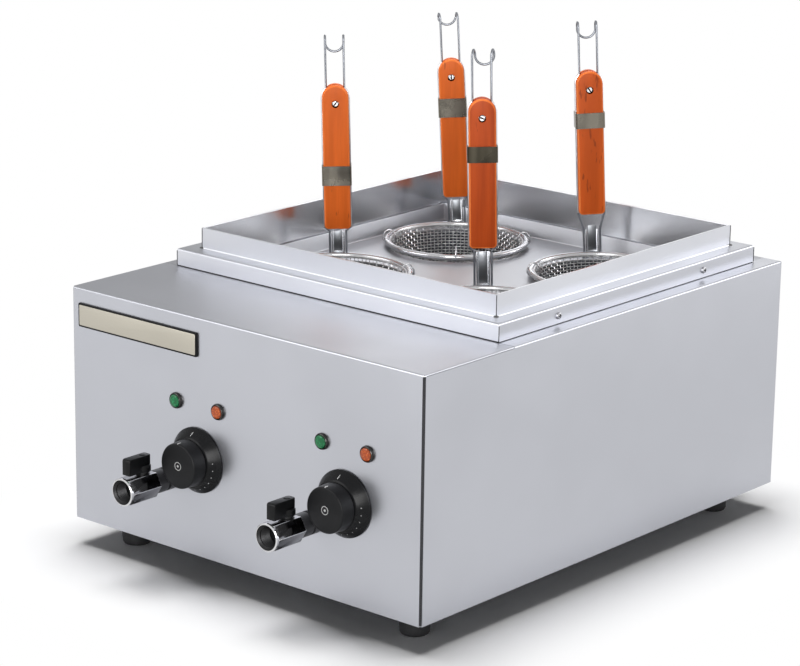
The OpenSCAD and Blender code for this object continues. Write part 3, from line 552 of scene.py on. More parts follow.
class Bench:
    """Modelling operators, each on one object at a time."""

    @staticmethod
    def take(obj: bpy.types.Object) -> bpy.types.Object:
        """Makes an object the only one selected, in object mode.

        Args:
            obj: the object.

        Returns:
            The same object.
        """
        if bpy.context.object and bpy.context.object.mode != "OBJECT":
            bpy.ops.object.mode_set(mode="OBJECT")
        bpy.ops.object.select_all(action="DESELECT")
        obj.select_set(True)
        bpy.context.view_layer.objects.active = obj
        return obj

    @staticmethod
    def settle(name: str) -> bpy.types.Object:
        """Names the object just added and puts its place into its mesh.

        Args:
            name: the object's name.

        Returns:
            The object.
        """
        obj = bpy.context.object
        obj.name = name
        Bench.take(obj)
        bpy.ops.object.transform_apply(location=True, rotation=True, scale=True)
        return obj

    @staticmethod
    def cube(name: str, low: Sequence[float], high: Sequence[float]) -> bpy.types.Object:
        """Adds a box.

        Args:
            name: the object's name.
            low: lowest corner in metres.
            high: highest corner in metres.

        Returns:
            The new object.
        """
        low, high = Vector(low), Vector(high)
        bpy.ops.object.select_all(action="DESELECT")
        bpy.ops.mesh.primitive_cube_add(size=1.0, location=(low + high) / 2, scale=high - low)
        return Bench.settle(name)

    @staticmethod
    def bar(name: str, radius: float, ends: Sequence[Vector], sides: int = 48) -> bpy.types.Object:
        """Adds a straight bar, round or with flats.

        Args:
            name: the object's name.
            radius: outer radius in metres.
            ends: the middles of both end faces.
            sides: number of sides.

        Returns:
            The new object.
        """
        way = ends[1] - ends[0]
        bpy.ops.object.select_all(action="DESELECT")
        bpy.ops.mesh.primitive_cylinder_add(
            vertices=sides,
            radius=radius,
            depth=way.length,
            location=(ends[0] + ends[1]) / 2,
            rotation=way.to_track_quat("Z", "X").to_euler(),
        )
        return Bench.settle(name)

    @staticmethod
    def lathe(
        name: str,
        outline: Sequence[Pair],
        axis: Vector,
        origin: Vector,
        steps: int = 64,
        closed: bool = False,
    ) -> bpy.types.Object:
        """Spins an outline round an axis.

        Args:
            name: the object's name.
            outline: (radius, distance along the axis) pairs in millimetres.
            axis: direction of the axis.
            origin: where the distance is 0, in metres.
            steps: steps in a full turn.
            closed: whether the outline's last point joins its first.

        Returns:
            The new object.
        """
        side = axis.orthogonal().normalized()
        points = [origin + MM * (along * axis + radius * side) for radius, along in outline]
        edges = [(k, k + 1) for k in range(len(points) - 1)]
        if closed:
            edges.append((len(points) - 1, 0))
        obj = Bench.mesh(name, points, edges, [])
        Bench.edit(obj, "VERT")
        bpy.ops.mesh.select_all(action="SELECT")
        bpy.ops.mesh.spin(steps=steps, angle=2 * math.pi, center=origin, axis=axis)
        bpy.ops.mesh.select_all(action="SELECT")
        bpy.ops.mesh.remove_doubles(threshold=1e-6)
        bpy.ops.mesh.normals_make_consistent(inside=False)
        bpy.ops.object.mode_set(mode="OBJECT")
        return obj

    @staticmethod
    def mesh(name: str, points: Sequence, edges: Sequence, faces: Sequence) -> bpy.types.Object:
        """Adds a mesh from its points, edges and faces.

        Args:
            name: the object's name.
            points: places in metres.
            edges: pairs of point numbers.
            faces: rings of point numbers.

        Returns:
            The new object.
        """
        data = bpy.data.meshes.new(name)
        data.from_pydata(points, edges, faces)
        obj = bpy.data.objects.new(name, data)
        bpy.context.scene.collection.objects.link(obj)
        return Bench.take(obj)

    @staticmethod
    def tube(name: str, path: Sequence[Vector], radius: float, closed: bool = False) -> bpy.types.Object:
        """Adds a round wire along a path.

        Args:
            name: the object's name.
            path: points in metres.
            radius: radius of the wire in metres.
            closed: whether the path's end joins its start.

        Returns:
            The new object.
        """
        curve = bpy.data.curves.new(name, "CURVE")
        curve.dimensions = "3D"
        curve.bevel_depth = radius
        curve.bevel_resolution = 3
        curve.use_fill_caps = True
        spline = curve.splines.new("POLY")
        spline.points.add(len(path) - 1)
        spline.use_cyclic_u = closed
        for point, place in zip(spline.points, path):
            point.co = (*place, 1.0)
        obj = bpy.data.objects.new(name, curve)
        bpy.context.scene.collection.objects.link(obj)
        Bench.take(obj)
        bpy.ops.object.convert(target="MESH")
        return bpy.context.object

    @staticmethod
    def hexagon(name: str, flat: float, ends: Sequence[Vector]) -> bpy.types.Object:
        """Adds a hexagonal bar along Y with a flat on top.

        Args:
            name: the object's name.
            flat: distance from the axis to a flat, in metres.
            ends: the middles of both end faces.

        Returns:
            The new object.
        """
        obj = Bench.bar(name, flat / math.cos(math.pi / 6), ends, 6)
        if max(v.co.z for v in obj.data.vertices) - ends[0].z > flat + MM * 0.5:
            turn = Matrix.Rotation(math.pi / 6, 4, "Y")
            obj.data.transform(Matrix.Translation(ends[0]) @ turn @ Matrix.Translation(-ends[0]))
        return obj

    @staticmethod
    def slab(name: str, outline: Sequence[Pair], y: Pair) -> bpy.types.Object:
        """Extrudes an outline in X and Z along Y.

        Args:
            name: the object's name.
            outline: (x, z) pairs in millimetres, anticlockwise as seen from the front.
            y: where the slab starts and ends, in millimetres.

        Returns:
            The new object.
        """
        points = [MM * Vector((x, y[0], z)) for x, z in outline]
        obj = Bench.mesh(name, points, [], [list(range(len(points)))])
        Bench.edit(obj, "FACE")
        bpy.ops.mesh.select_all(action="SELECT")
        bpy.ops.mesh.extrude_region_move(TRANSFORM_OT_translate={"value": (0.0, MM * (y[1] - y[0]), 0.0)})
        bpy.ops.mesh.select_all(action="SELECT")
        bpy.ops.mesh.normals_make_consistent(inside=False)
        bpy.ops.object.mode_set(mode="OBJECT")
        return obj

    @staticmethod
    def edit(obj: bpy.types.Object, kind: str) -> None:
        """Enters edit mode with nothing selected.

        Args:
            obj: the object.
            kind: VERT, EDGE or FACE.
        """
        Bench.take(obj)
        bpy.ops.object.mode_set(mode="EDIT")
        bpy.ops.mesh.select_mode(type=kind)
        bpy.ops.mesh.select_all(action="DESELECT")

    @staticmethod
    def pick_edges(obj: bpy.types.Object, test: Test) -> None:
        """Enters edit mode with some edges selected.

        Args:
            obj: the object.
            test: says which edges, by middle and direction.
        """
        Bench.edit(obj, "EDGE")
        bpy.ops.object.mode_set(mode="OBJECT")
        points = obj.data.vertices
        for edge in obj.data.edges:
            a, b = (points[k].co for k in edge.vertices)
            edge.select = bool(test((a + b) / 2, (b - a).normalized()))
        bpy.ops.object.mode_set(mode="EDIT")

    @staticmethod
    def pick_faces(obj: bpy.types.Object, test: Test) -> None:
        """Enters edit mode with some faces selected.

        Args:
            obj: the object.
            test: says which faces, by middle and normal.
        """
        Bench.edit(obj, "FACE")
        bpy.ops.object.mode_set(mode="OBJECT")
        for face in obj.data.polygons:
            face.select = bool(test(face.center, face.normal))
        bpy.ops.object.mode_set(mode="EDIT")

    @staticmethod
    def bevel(obj: bpy.types.Object, test: Test, width: float, segments: int, slot: int = -1) -> None:
        """Rounds the edges that pass a test.

        Args:
            obj: the object.
            test: says which edges, by middle and direction.
            width: width in metres.
            segments: steps of the round.
            slot: material slot of the new faces, or -1.
        """
        Bench.pick_edges(obj, test)
        bpy.ops.mesh.bevel(offset=width, segments=segments, affect="EDGES", material=slot)
        bpy.ops.object.mode_set(mode="OBJECT")

    @staticmethod
    def cut_away(obj: bpy.types.Object, test: Test) -> None:
        """Deletes some faces.

        Args:
            obj: the object.
            test: says which faces, by middle and normal.
        """
        Bench.pick_faces(obj, test)
        bpy.ops.mesh.delete(type="FACE")
        bpy.ops.object.mode_set(mode="OBJECT")

    @staticmethod
    def split_at(obj: bpy.types.Object, place: Vector, way: Vector, part: bool = False) -> None:
        """Cuts a line of edges through the whole mesh along a plane.

        Args:
            obj: the object.
            place: a point of the plane.
            way: the plane's normal.
            part: whether only what lies ahead of the plane stays, with the cut closed.
        """
        Bench.edit(obj, "FACE")
        bpy.ops.mesh.select_all(action="SELECT")
        bpy.ops.mesh.bisect(plane_co=place, plane_no=way, use_fill=part, clear_inner=part)
        bpy.ops.object.mode_set(mode="OBJECT")

    @staticmethod
    def modify(obj: bpy.types.Object, kind: str, **settings: object) -> None:
        """Adds a modifier and applies it.

        Args:
            obj: the object.
            kind: the modifier's type.
            settings: the modifier's own settings.
        """
        Bench.take(obj)
        made = obj.modifiers.new(kind.lower(), kind)
        for key, value in settings.items():
            setattr(made, key, value)
        bpy.ops.object.modifier_apply(modifier=made.name)

    @staticmethod
    def soften(obj: bpy.types.Object, width: float, segments: int) -> None:
        """Rounds every edge sharper than 40 degrees, by a width in metres."""
        sharp = math.radians(40.0)
        Bench.modify(obj, "BEVEL", width=width, segments=segments, limit_method="ANGLE", angle_limit=sharp)

    @staticmethod
    def carve(
        obj: bpy.types.Object,
        tool: bpy.types.Object,
        operation: str = "DIFFERENCE",
        solver: str = "EXACT",
        slot: int = 0,
    ) -> None:
        """Takes a tool's shape from an object, or adds it, and removes the tool.

        Args:
            obj: the object.
            tool: the shape that is taken away or added.
            operation: DIFFERENCE or UNION.
            solver: Blender's solver, EXACT or FAST.
            slot: material slot of the faces that the tool leaves.
        """
        Bench.paint(tool, *obj.data.materials)
        for face in tool.data.polygons:
            face.material_index = slot
        Bench.modify(obj, "BOOLEAN", operation=operation, object=tool, solver=solver)
        bpy.data.objects.remove(tool)

    @staticmethod
    def thicken(obj: bpy.types.Object, t: float) -> None:
        """Gives a sheet its thickness, inwards.

        Args:
            obj: the sheet.
            t: thickness in metres.
        """
        Bench.edit(obj, "FACE")
        bpy.ops.mesh.select_all(action="SELECT")
        bpy.ops.mesh.remove_doubles(threshold=1e-6)
        bpy.ops.object.mode_set(mode="OBJECT")
        Bench.modify(obj, "SOLIDIFY", thickness=t, offset=-1.0, use_even_offset=True)

    @staticmethod
    def join(name: str, pieces: Sequence[bpy.types.Object]) -> bpy.types.Object:
        """Joins several objects into one.

        Args:
            name: the joined object's name.
            pieces: the objects, of which the first stays.

        Returns:
            The joined object.
        """
        Bench.take(pieces[0])
        for obj in pieces[1:]:
            obj.select_set(True)
        bpy.ops.object.join()
        pieces[0].name = name
        return pieces[0]

    @staticmethod
    def copy(obj: bpy.types.Object, name: str, matrix: Matrix) -> bpy.types.Object:
        """Copies an object with its own mesh.

        Args:
            obj: the object.
            name: the copy's name.
            matrix: where its mesh goes.

        Returns:
            The copy.
        """
        twin = obj.copy()
        twin.data = obj.data.copy()
        twin.name = name
        twin.data.transform(matrix)
        bpy.context.scene.collection.objects.link(twin)
        return twin

    @staticmethod
    def paint(obj: bpy.types.Object, *materials: bpy.types.Material) -> None:
        """Gives an object its materials.

        Args:
            obj: the object.
            materials: the materials in slot order.
        """
        obj.data.materials.clear()
        for material in materials:
            obj.data.materials.append(material)

    @staticmethod
    def hand_over(
        obj: bpy.types.Object, body: str, slot: str, *nodes: str, angle: float = 32.0
    ) -> bpy.types.Object:
        """Shades a finished piece and lets it ride on its body.

        Args:
            obj: the piece.
            body: the CAD body that it moves with.
            slot: the record's material slot; not used.
            nodes: CAD nodes that it stands for.
            angle: edges flatter than this many degrees are shaded smooth.

        Returns:
            The piece.
        """
        Bench.take(obj)
        bpy.ops.object.shade_smooth_by_angle(angle=math.radians(angle))
        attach(obj, body)
        if nodes:
            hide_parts(*nodes)
        LOG.info("%s rides on %s, %d faces", obj.name, body, len(obj.data.polygons))
        return obj


@dataclass
class Case:
    """Front cover with its deck, side panels, rear panel and the open joints between them."""

    palette: Palette
    sheet: float = 1.2
    bend: float = 1.6
    corner_gap: float = 2.0
    seam: float = 0.5
    skirt_gap: float = 0.6
    strip_w: float = 19.6
    low: Vector = field(init=False)
    high: Vector = field(init=False)
    deck_end: float = field(init=False)
    strip_start: float = field(init=False)

    def __post_init__(self) -> None:
        """Reads the case's outline from the frame."""
        front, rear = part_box("front_cover"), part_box("rear_panel")
        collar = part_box("top_surround")
        self.low = front[0].copy()
        self.high = Vector((front[1].x, rear[1].y, collar[0].z - MM * self.skirt_gap))
        self.deck_end = collar[0].y
        self.strip_start = collar[1].y

    def build(self) -> bpy.types.Object:
        """Builds and dresses every panel.

        Returns:
            The deck.
        """
        deck = self.front_cover()
        for name, sign in zip(Side, (-1, 1)):
            self.side_panel(name, sign)
            self.corner_joint(name, sign)
        self.rear_panel()
        return deck

    def front_cover(self) -> bpy.types.Object:
        """Front panel and deck, bent from one sheet with rounded edges, parted behind the bend.

        Returns:
            The deck.
        """
        low, high, bend = self.low, self.high, MM * self.bend
        obj = Bench.cube("front_panel", low, (high.x, self.deck_end, high.z))
        Bench.bevel(
            obj, lambda m, d: abs(d.z) > 0.9 and m.y < low.y + MM, MM * self.corner_gap, 1
        )
        Bench.bevel(
            obj, lambda m, d: m.z > high.z - bend / 9 and m.y < self.deck_end - bend / 9, bend, 5
        )
        Bench.cut_away(
            obj,
            lambda m, n: n.z < -0.5
            or n.y > 0.5
            or abs(n.x) > 0.95
            or (abs(n.x) > 0.5 and abs(n.z) < 0.05),
        )
        Bench.thicken(obj, MM * self.sheet)
        turn = Bench.cube(
            "front_turn_up",
            (low.x + MM * self.strip_w, self.deck_end - MM, high.z - MM * self.sheet),
            (high.x - MM * self.strip_w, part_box("front_cover")[1].y, high.z),
        )
        lip = Bench.cube(
            "front_lip",
            (low.x + MM * self.strip_w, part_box("front_cover")[1].y - MM * self.sheet, high.z),
            (high.x - MM * self.strip_w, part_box("front_cover")[1].y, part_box("front_cover")[1].z),
        )
        obj = Bench.join(obj.name, [obj, turn, lip])
        Bench.paint(obj, self.palette.sheet, self.palette.deck)
        for face in obj.data.polygons:
            face.material_index = int(face.normal.z > 0.95)
        deck = Bench.copy(obj, "deck", Matrix())
        line = Vector((0.0, low.y + 2 * bend, 0.0))
        Bench.split_at(obj, line, -Y_AXIS, True)
        Bench.split_at(deck, line, Y_AXIS, True)
        Bench.hand_over(obj, "case", "stainless_sheet", "front_cover", angle=25.0)
        return Bench.hand_over(deck, "case", "stainless_sheet", "front_cover", angle=25.0)

    def side_panel(self, name: Side, sign: int) -> None:
        """One side panel with its bent top strip.

        Args:
            name: left or right.
            sign: -1 on the left and 1 on the right.
        """
        low, high, bend = self.low, self.high, MM * self.bend
        start = low.y + MM * self.corner_gap
        end = high.y - MM * self.sheet
        inner = high.x - MM * self.strip_w
        outer = high.x
        corners = sorted((sign * inner, sign * outer))
        obj = Bench.cube(f"{name}_panel", (corners[0], start, low.z), (corners[1], end, high.z))
        Bench.bevel(
            obj,
            lambda m, d: abs(d.y) > 0.9 and m.z > high.z - bend / 9 and abs(m.x) > outer - bend / 9,
            bend,
            5,
        )
        Bench.split_at(obj, Vector((0.0, self.deck_end + MM * self.seam, 0.0)), Y_AXIS)
        Bench.cut_away(
            obj,
            lambda m, n: n.z < -0.5
            or n.y < -0.5
            or n.x * sign < -0.5
            or (m.y < self.deck_end and n.z > 0.05),
        )
        Bench.thicken(obj, MM * self.sheet)
        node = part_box(f"{name}_side_panel")
        turn = Bench.cube(
            f"{name}_lip",
            (min(sign * inner, sign * (inner + MM * self.sheet)), self.deck_end + MM * 3, high.z),
            (max(sign * inner, sign * (inner + MM * self.sheet)), self.strip_start - MM * 3, node[1].z),
        )
        obj = Bench.join(obj.name, [obj, turn])
        Bench.paint(obj, self.palette.sheet)
        Bench.hand_over(obj, "case", "stainless_sheet", f"{name}_side_panel", angle=25.0)

    def corner_joint(self, name: Side, sign: int) -> None:
        """Painted shade: a dark strip in the open joint at a front corner.

        Args:
            name: left or right.
            sign: -1 on the left and 1 on the right.
        """
        sunk, deep = MM * 0.7, MM * 3.2
        x = sorted((sign * (self.high.x - sunk), sign * (self.high.x - deep)))
        obj = Bench.cube(
            f"{name}_corner_joint",
            (x[0], self.low.y + sunk, self.low.z + MM),
            (x[1], self.low.y + deep, self.high.z - MM * self.bend),
        )
        Bench.bevel(
            obj,
            lambda m, d: abs(d.z) > 0.9 and abs(m.x) > self.high.x - MM and m.y < self.low.y + MM,
            MM * 0.6,
            2,
        )
        Bench.paint(obj, self.palette.joint)
        Bench.hand_over(obj, "case", "dark_nut")

    def rear_panel(self) -> None:
        """Rear panel with its bent top strip."""
        low, high, bend = self.low, self.high, MM * self.bend
        obj = Bench.cube("back_panel", (low.x, self.strip_start - MM * 3, low.z), (high.x, high.y, high.z))
        Bench.bevel(
            obj,
            lambda m, d: abs(d.x) > 0.9 and m.z > high.z - bend / 9 and m.y > high.y - bend / 9,
            bend,
            5,
        )
        Bench.split_at(obj, Vector((high.x - MM * self.strip_w, 0.0, 0.0)), X_AXIS)
        Bench.split_at(obj, Vector((low.x + MM * self.strip_w, 0.0, 0.0)), X_AXIS)
        Bench.cut_away(
            obj,
            lambda m, n: n.z < -0.5
            or n.y < -0.5
            or abs(n.x) > 0.5
            or (n.z > 0.95 and abs(m.x) > high.x - MM * self.strip_w),
        )
        Bench.thicken(obj, MM * self.sheet)
        Bench.paint(obj, self.palette.sheet)
        Bench.hand_over(obj, "case", "stainless_sheet", "rear_panel", angle=25.0)


@dataclass
class Collar:
    """Surround on the case top: skirt, ledge and upstand, with welded corners and side screws."""

    palette: Palette
    sheet: float = 1.2
    bend: float = 1.8
    ledge_w: float = 16.5
    skirt_h: float = 16.7
    skirt_gap: float = 0.6
    corner_seam: float = 0.8
    low: Vector = field(init=False)
    high: Vector = field(init=False)
    ledge_z: float = field(init=False)
    middle_y: float = field(init=False)

    def __post_init__(self) -> None:
        """Reads the collar's outline from the frame."""
        self.low, self.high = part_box("top_surround")
        self.ledge_z = self.low.z + MM * (self.skirt_h - self.skirt_gap)
        self.middle_y = (self.low.y + self.high.y) / 2

    def build(self) -> None:
        """Builds and dresses the collar and its screws."""
        skirt = self.skirt_and_ledge()
        upstand = self.upstand()
        obj = Bench.join("collar", [skirt, upstand])
        palette = self.palette
        Bench.paint(obj, palette.sheet, palette.upstand, palette.inner, palette.ledge)
        # Painted light: faces take lighter copies of the sheet by their facing, the upstand's outer faces and
        # the skirt's front, and still lighter the upstand's inward faces; level faces take the ledge finish.
        for face in obj.data.polygons:
            at, out = face.center, face.normal
            inwards = out.x * at.x < -1e-4 or out.y * (at.y - self.middle_y) < -1e-4
            level = 3 if out.z > 0.95 else int(out.y < -0.95)
            face.material_index = 1 + inwards if at.z > self.ledge_z + MM else level
        Bench.hand_over(obj, "case", "stainless_sheet", "top_surround", angle=25.0)
        self.skirt_joint()
        self.base_bead()
        self.corner_seams()
        self.corner_welds()
        self.screws()

    def skirt_and_ledge(self) -> bpy.types.Object:
        """Skirt and ledge, bent from one sheet.

        Returns:
            The bent ring.
        """
        top, bend, w = self.ledge_z, MM * self.bend, MM * self.ledge_w
        obj = Bench.cube("skirt", self.low, (self.high.x, self.high.y, top))
        Bench.bevel(obj, lambda m, d: m.z > top - bend / 9, bend, 5)
        Bench.pick_faces(obj, lambda m, n: n.z > 0.99)
        bpy.ops.mesh.inset(thickness=w - bend, depth=0.0)
        bpy.ops.mesh.delete(type="FACE")
        bpy.ops.object.mode_set(mode="OBJECT")
        Bench.cut_away(obj, lambda m, n: n.z < -0.5)
        Bench.thicken(obj, MM * self.sheet)
        return obj

    def upstand(self) -> bpy.types.Object:
        """Upright wall round the tank, with rounded sheet edges.

        Returns:
            The wall.
        """
        w, t = MM * self.ledge_w, MM * self.sheet
        inset = Vector((w, w, 0.0))
        low = Vector((*(self.low + inset).xy, self.ledge_z - t))
        obj = Bench.cube("upstand", low, self.high - inset)
        Bench.cut_away(obj, lambda m, n: abs(n.z) > 0.5)
        Bench.thicken(obj, t)
        Bench.bevel(obj, lambda m, d: m.z > self.high.z - MM * 0.1 and abs(d.z) < 0.1, MM * 0.3, 2)
        return obj

    def corners(self, inset: float) -> list[Vector]:
        """Four corners of the collar, moved in, at height 0.

        Args:
            inset: distance from the skirt in metres.

        Returns:
            The corners.
        """
        xs = (self.low.x + inset, self.high.x - inset)
        ys = (self.low.y + inset, self.high.y - inset)
        return [Vector((x, y, 0.0)) for x in xs for y in ys]

    def skirt_joint(self) -> None:
        """Painted shade: a dark strip in the open joint under the skirt, proud at the front and sunk
        elsewhere.
        """
        proud, sunk, deep = MM * 0.5, MM * 0.6, MM * 2.0
        z = (self.low.z - MM * self.skirt_gap, self.low.z + MM * 0.3)
        x, y = (self.low.x + sunk, self.high.x - sunk), (self.low.y - proud, self.high.y - sunk)
        runs = ((x[0], x[1], y[0], y[0] + deep), (x[0], x[1], y[1] - deep, y[1]))
        runs += ((x[0], x[0] + deep, y[0], y[1]), (x[1] - deep, x[1], y[0], y[1]))
        bars = [Bench.cube("run", (x0, y0, z[0]), (x1, y1, z[1])) for x0, x1, y0, y1 in runs]
        for bar in bars:
            Bench.bevel(bar, lambda m, d: m.z > z[1] - MM * 0.1, MM * 0.25, 2)
        obj = Bench.join("skirt_joint", bars)
        Bench.paint(obj, self.palette.joint)
        Bench.hand_over(obj, "case", "dark_nut")

    def base_bead(self) -> None:
        """Ground weld bead along the foot of the upstand."""
        a, b, c, d = (at + Vector((0.0, 0.0, self.ledge_z)) for at in self.corners(MM * self.ledge_w))
        runs = ((a, b), (b, d), (d, c), (c, a))
        bars = [Bench.bar(f"run_{k}", MM * 0.9, run, 12) for k, run in enumerate(runs)]
        obj = Bench.join("collar_bead", bars)
        # The bead takes the light inward-face copy of the sheet, a painted highlight along the upstand's
        # foot.
        Bench.paint(obj, self.palette.inner)
        Bench.hand_over(obj, "case", "stainless_sheet", angle=60.0)

    def corner_seams(self) -> None:
        """Painted shade: dark lines in the butt joints at the corners of the skirt and of the upstand."""
        half = MM * self.corner_seam / 2
        bars = []
        heights = {
            0.0: (self.low.z, self.ledge_z - MM * self.bend),
            MM * self.ledge_w: (self.ledge_z, self.high.z),
        }
        for inset, (z0, z1) in heights.items():
            for k, at in enumerate(self.corners(inset)):
                ends = [at + Vector((0.0, 0.0, z0)), at + Vector((0.0, 0.0, z1 - MM * 0.4))]
                bars.append(Bench.bar(f"seam_{k}", half, ends, 12))
        obj = Bench.join("collar_seams", bars)
        Bench.paint(obj, self.palette.joint)
        Bench.hand_over(obj, "case", "dark_nut")

    def corner_welds(self) -> None:
        """Small weld beads where the upstand's corners meet the ledge."""
        beads = []
        for k, at in enumerate(self.corners(MM * self.ledge_w)):
            outline = [(0.0, 0.0), (2.6, 0.0), (2.3, 0.5), (1.4, 1.0), (0.0, 1.2)]
            beads.append(Bench.lathe(f"bead_{k}", outline, Z_AXIS, at + Vector((0.0, 0.0, self.ledge_z)), 16))
        obj = Bench.join("collar_welds", beads)
        Bench.paint(obj, self.palette.element)
        Bench.hand_over(obj, "case", "stainless_sheet")

    def screws(self) -> None:
        """Cross-slotted pan heads on both sides of the skirt."""
        low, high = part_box("surround_screws")
        reach = MM * SCREW_HEAD
        places = [
            (Vector((sign * self.high.x, y, (low.z + high.z) / 2)), sign * X_AXIS)
            for sign in (-1, 1)
            for y in (low.y + reach, high.y - reach)
        ]
        screw_heads("collar_screws", places, self.palette, "surround_screws")


def screw_heads(name: str, places: Sequence[tuple[Vector, Vector]], palette: Palette, node: str) -> None:
    """Pan-head screws with a cross slot.

    Args:
        name: the joined piece's name.
        places: seat and outward direction of each screw.
        palette: the finishes.
        node: the CAD node that they stand for.
    """
    head = [(0.0, -8.0), (1.9, -8.0), (1.9, 0.0), (SCREW_HEAD, 0.0), (SCREW_HEAD, 0.9)]
    head += [(2.7, 1.7), (1.5, 2.15), (0.0, 2.25)]
    model = Bench.lathe("screw_model", head, Z_AXIS, Vector(), 24)
    arm, half, floor, top = 2.0 * MM, 0.5 * MM, 0.9 * MM, 3.0 * MM
    cross = Bench.cube("slot_a", (-arm, -half, floor), (arm, half, top))
    Bench.carve(cross, Bench.cube("slot_b", (-half, -arm, floor), (half, arm, top)), "UNION")
    # The cross slot takes the dark joint finish, as painted shade.
    Bench.paint(model, palette.screw, palette.joint)
    Bench.carve(model, cross, slot=1)
    made = []
    for k, (seat, out) in enumerate(places):
        matrix = Matrix.Translation(seat) @ out.to_track_quat("Z", "Y").to_matrix().to_4x4()
        made.append(Bench.copy(model, f"{name}_{k}", matrix))
    bpy.data.objects.remove(model)
    obj = Bench.join(name, made)
    Bench.hand_over(obj, "case", "screw_steel", node)


@dataclass
class Tray:
    """Lift-out plate with a turned-up edge and four punched holes."""

    palette: Palette
    sheet: float = 1.2
    fold: float = 2.4
    hole_r: float = 67.0

    def build(self, centres: Sequence[Vector]) -> bpy.types.Object:
        """Builds and dresses the tray.

        Args:
            centres: middles of the four holes.

        Returns:
            The tray.
        """
        low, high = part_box("basket_tray")
        obj = Bench.cube("lift_out_tray", low, high)
        Bench.bevel(obj, lambda m, d: abs(d.z) > 0.9, MM * self.fold, 4)
        Bench.bevel(obj, lambda m, d: m.z < low.z + MM * 0.1, MM * self.fold, 4)
        Bench.cut_away(obj, lambda m, n: n.z > 0.9)
        Bench.thicken(obj, MM * self.sheet)
        Bench.bevel(obj, lambda m, d: m.z > high.z - MM * 0.1 and abs(d.z) < 0.1, MM * 0.3, 2)
        Bench.split_at(obj, Vector(), X_AXIS)
        Bench.split_at(obj, sum(centres, Vector()) / len(centres), Y_AXIS)
        for k, at in enumerate(centres):
            ends = [Vector((at.x, at.y, low.z - MM * 5)), Vector((at.x, at.y, low.z + MM * 5))]
            Bench.carve(obj, Bench.bar(f"punch_{k}", MM * self.hole_r, ends, 96), solver="FAST")
        Bench.paint(obj, self.palette.tray)
        return Bench.hand_over(obj, "tray", "stainless_sheet", "basket_tray", angle=25.0)


class Wood(StrEnum):
    """Wood of a grip, by its finish in the palette."""

    EVEN = "wood"
    WORN = "worn_wood"
    DEEP = "deep_wood"


class Strip(StrEnum):
    """Steel of a grip's band, by its finish in the palette."""

    PALE = "band"
    DARK = "dark_band"


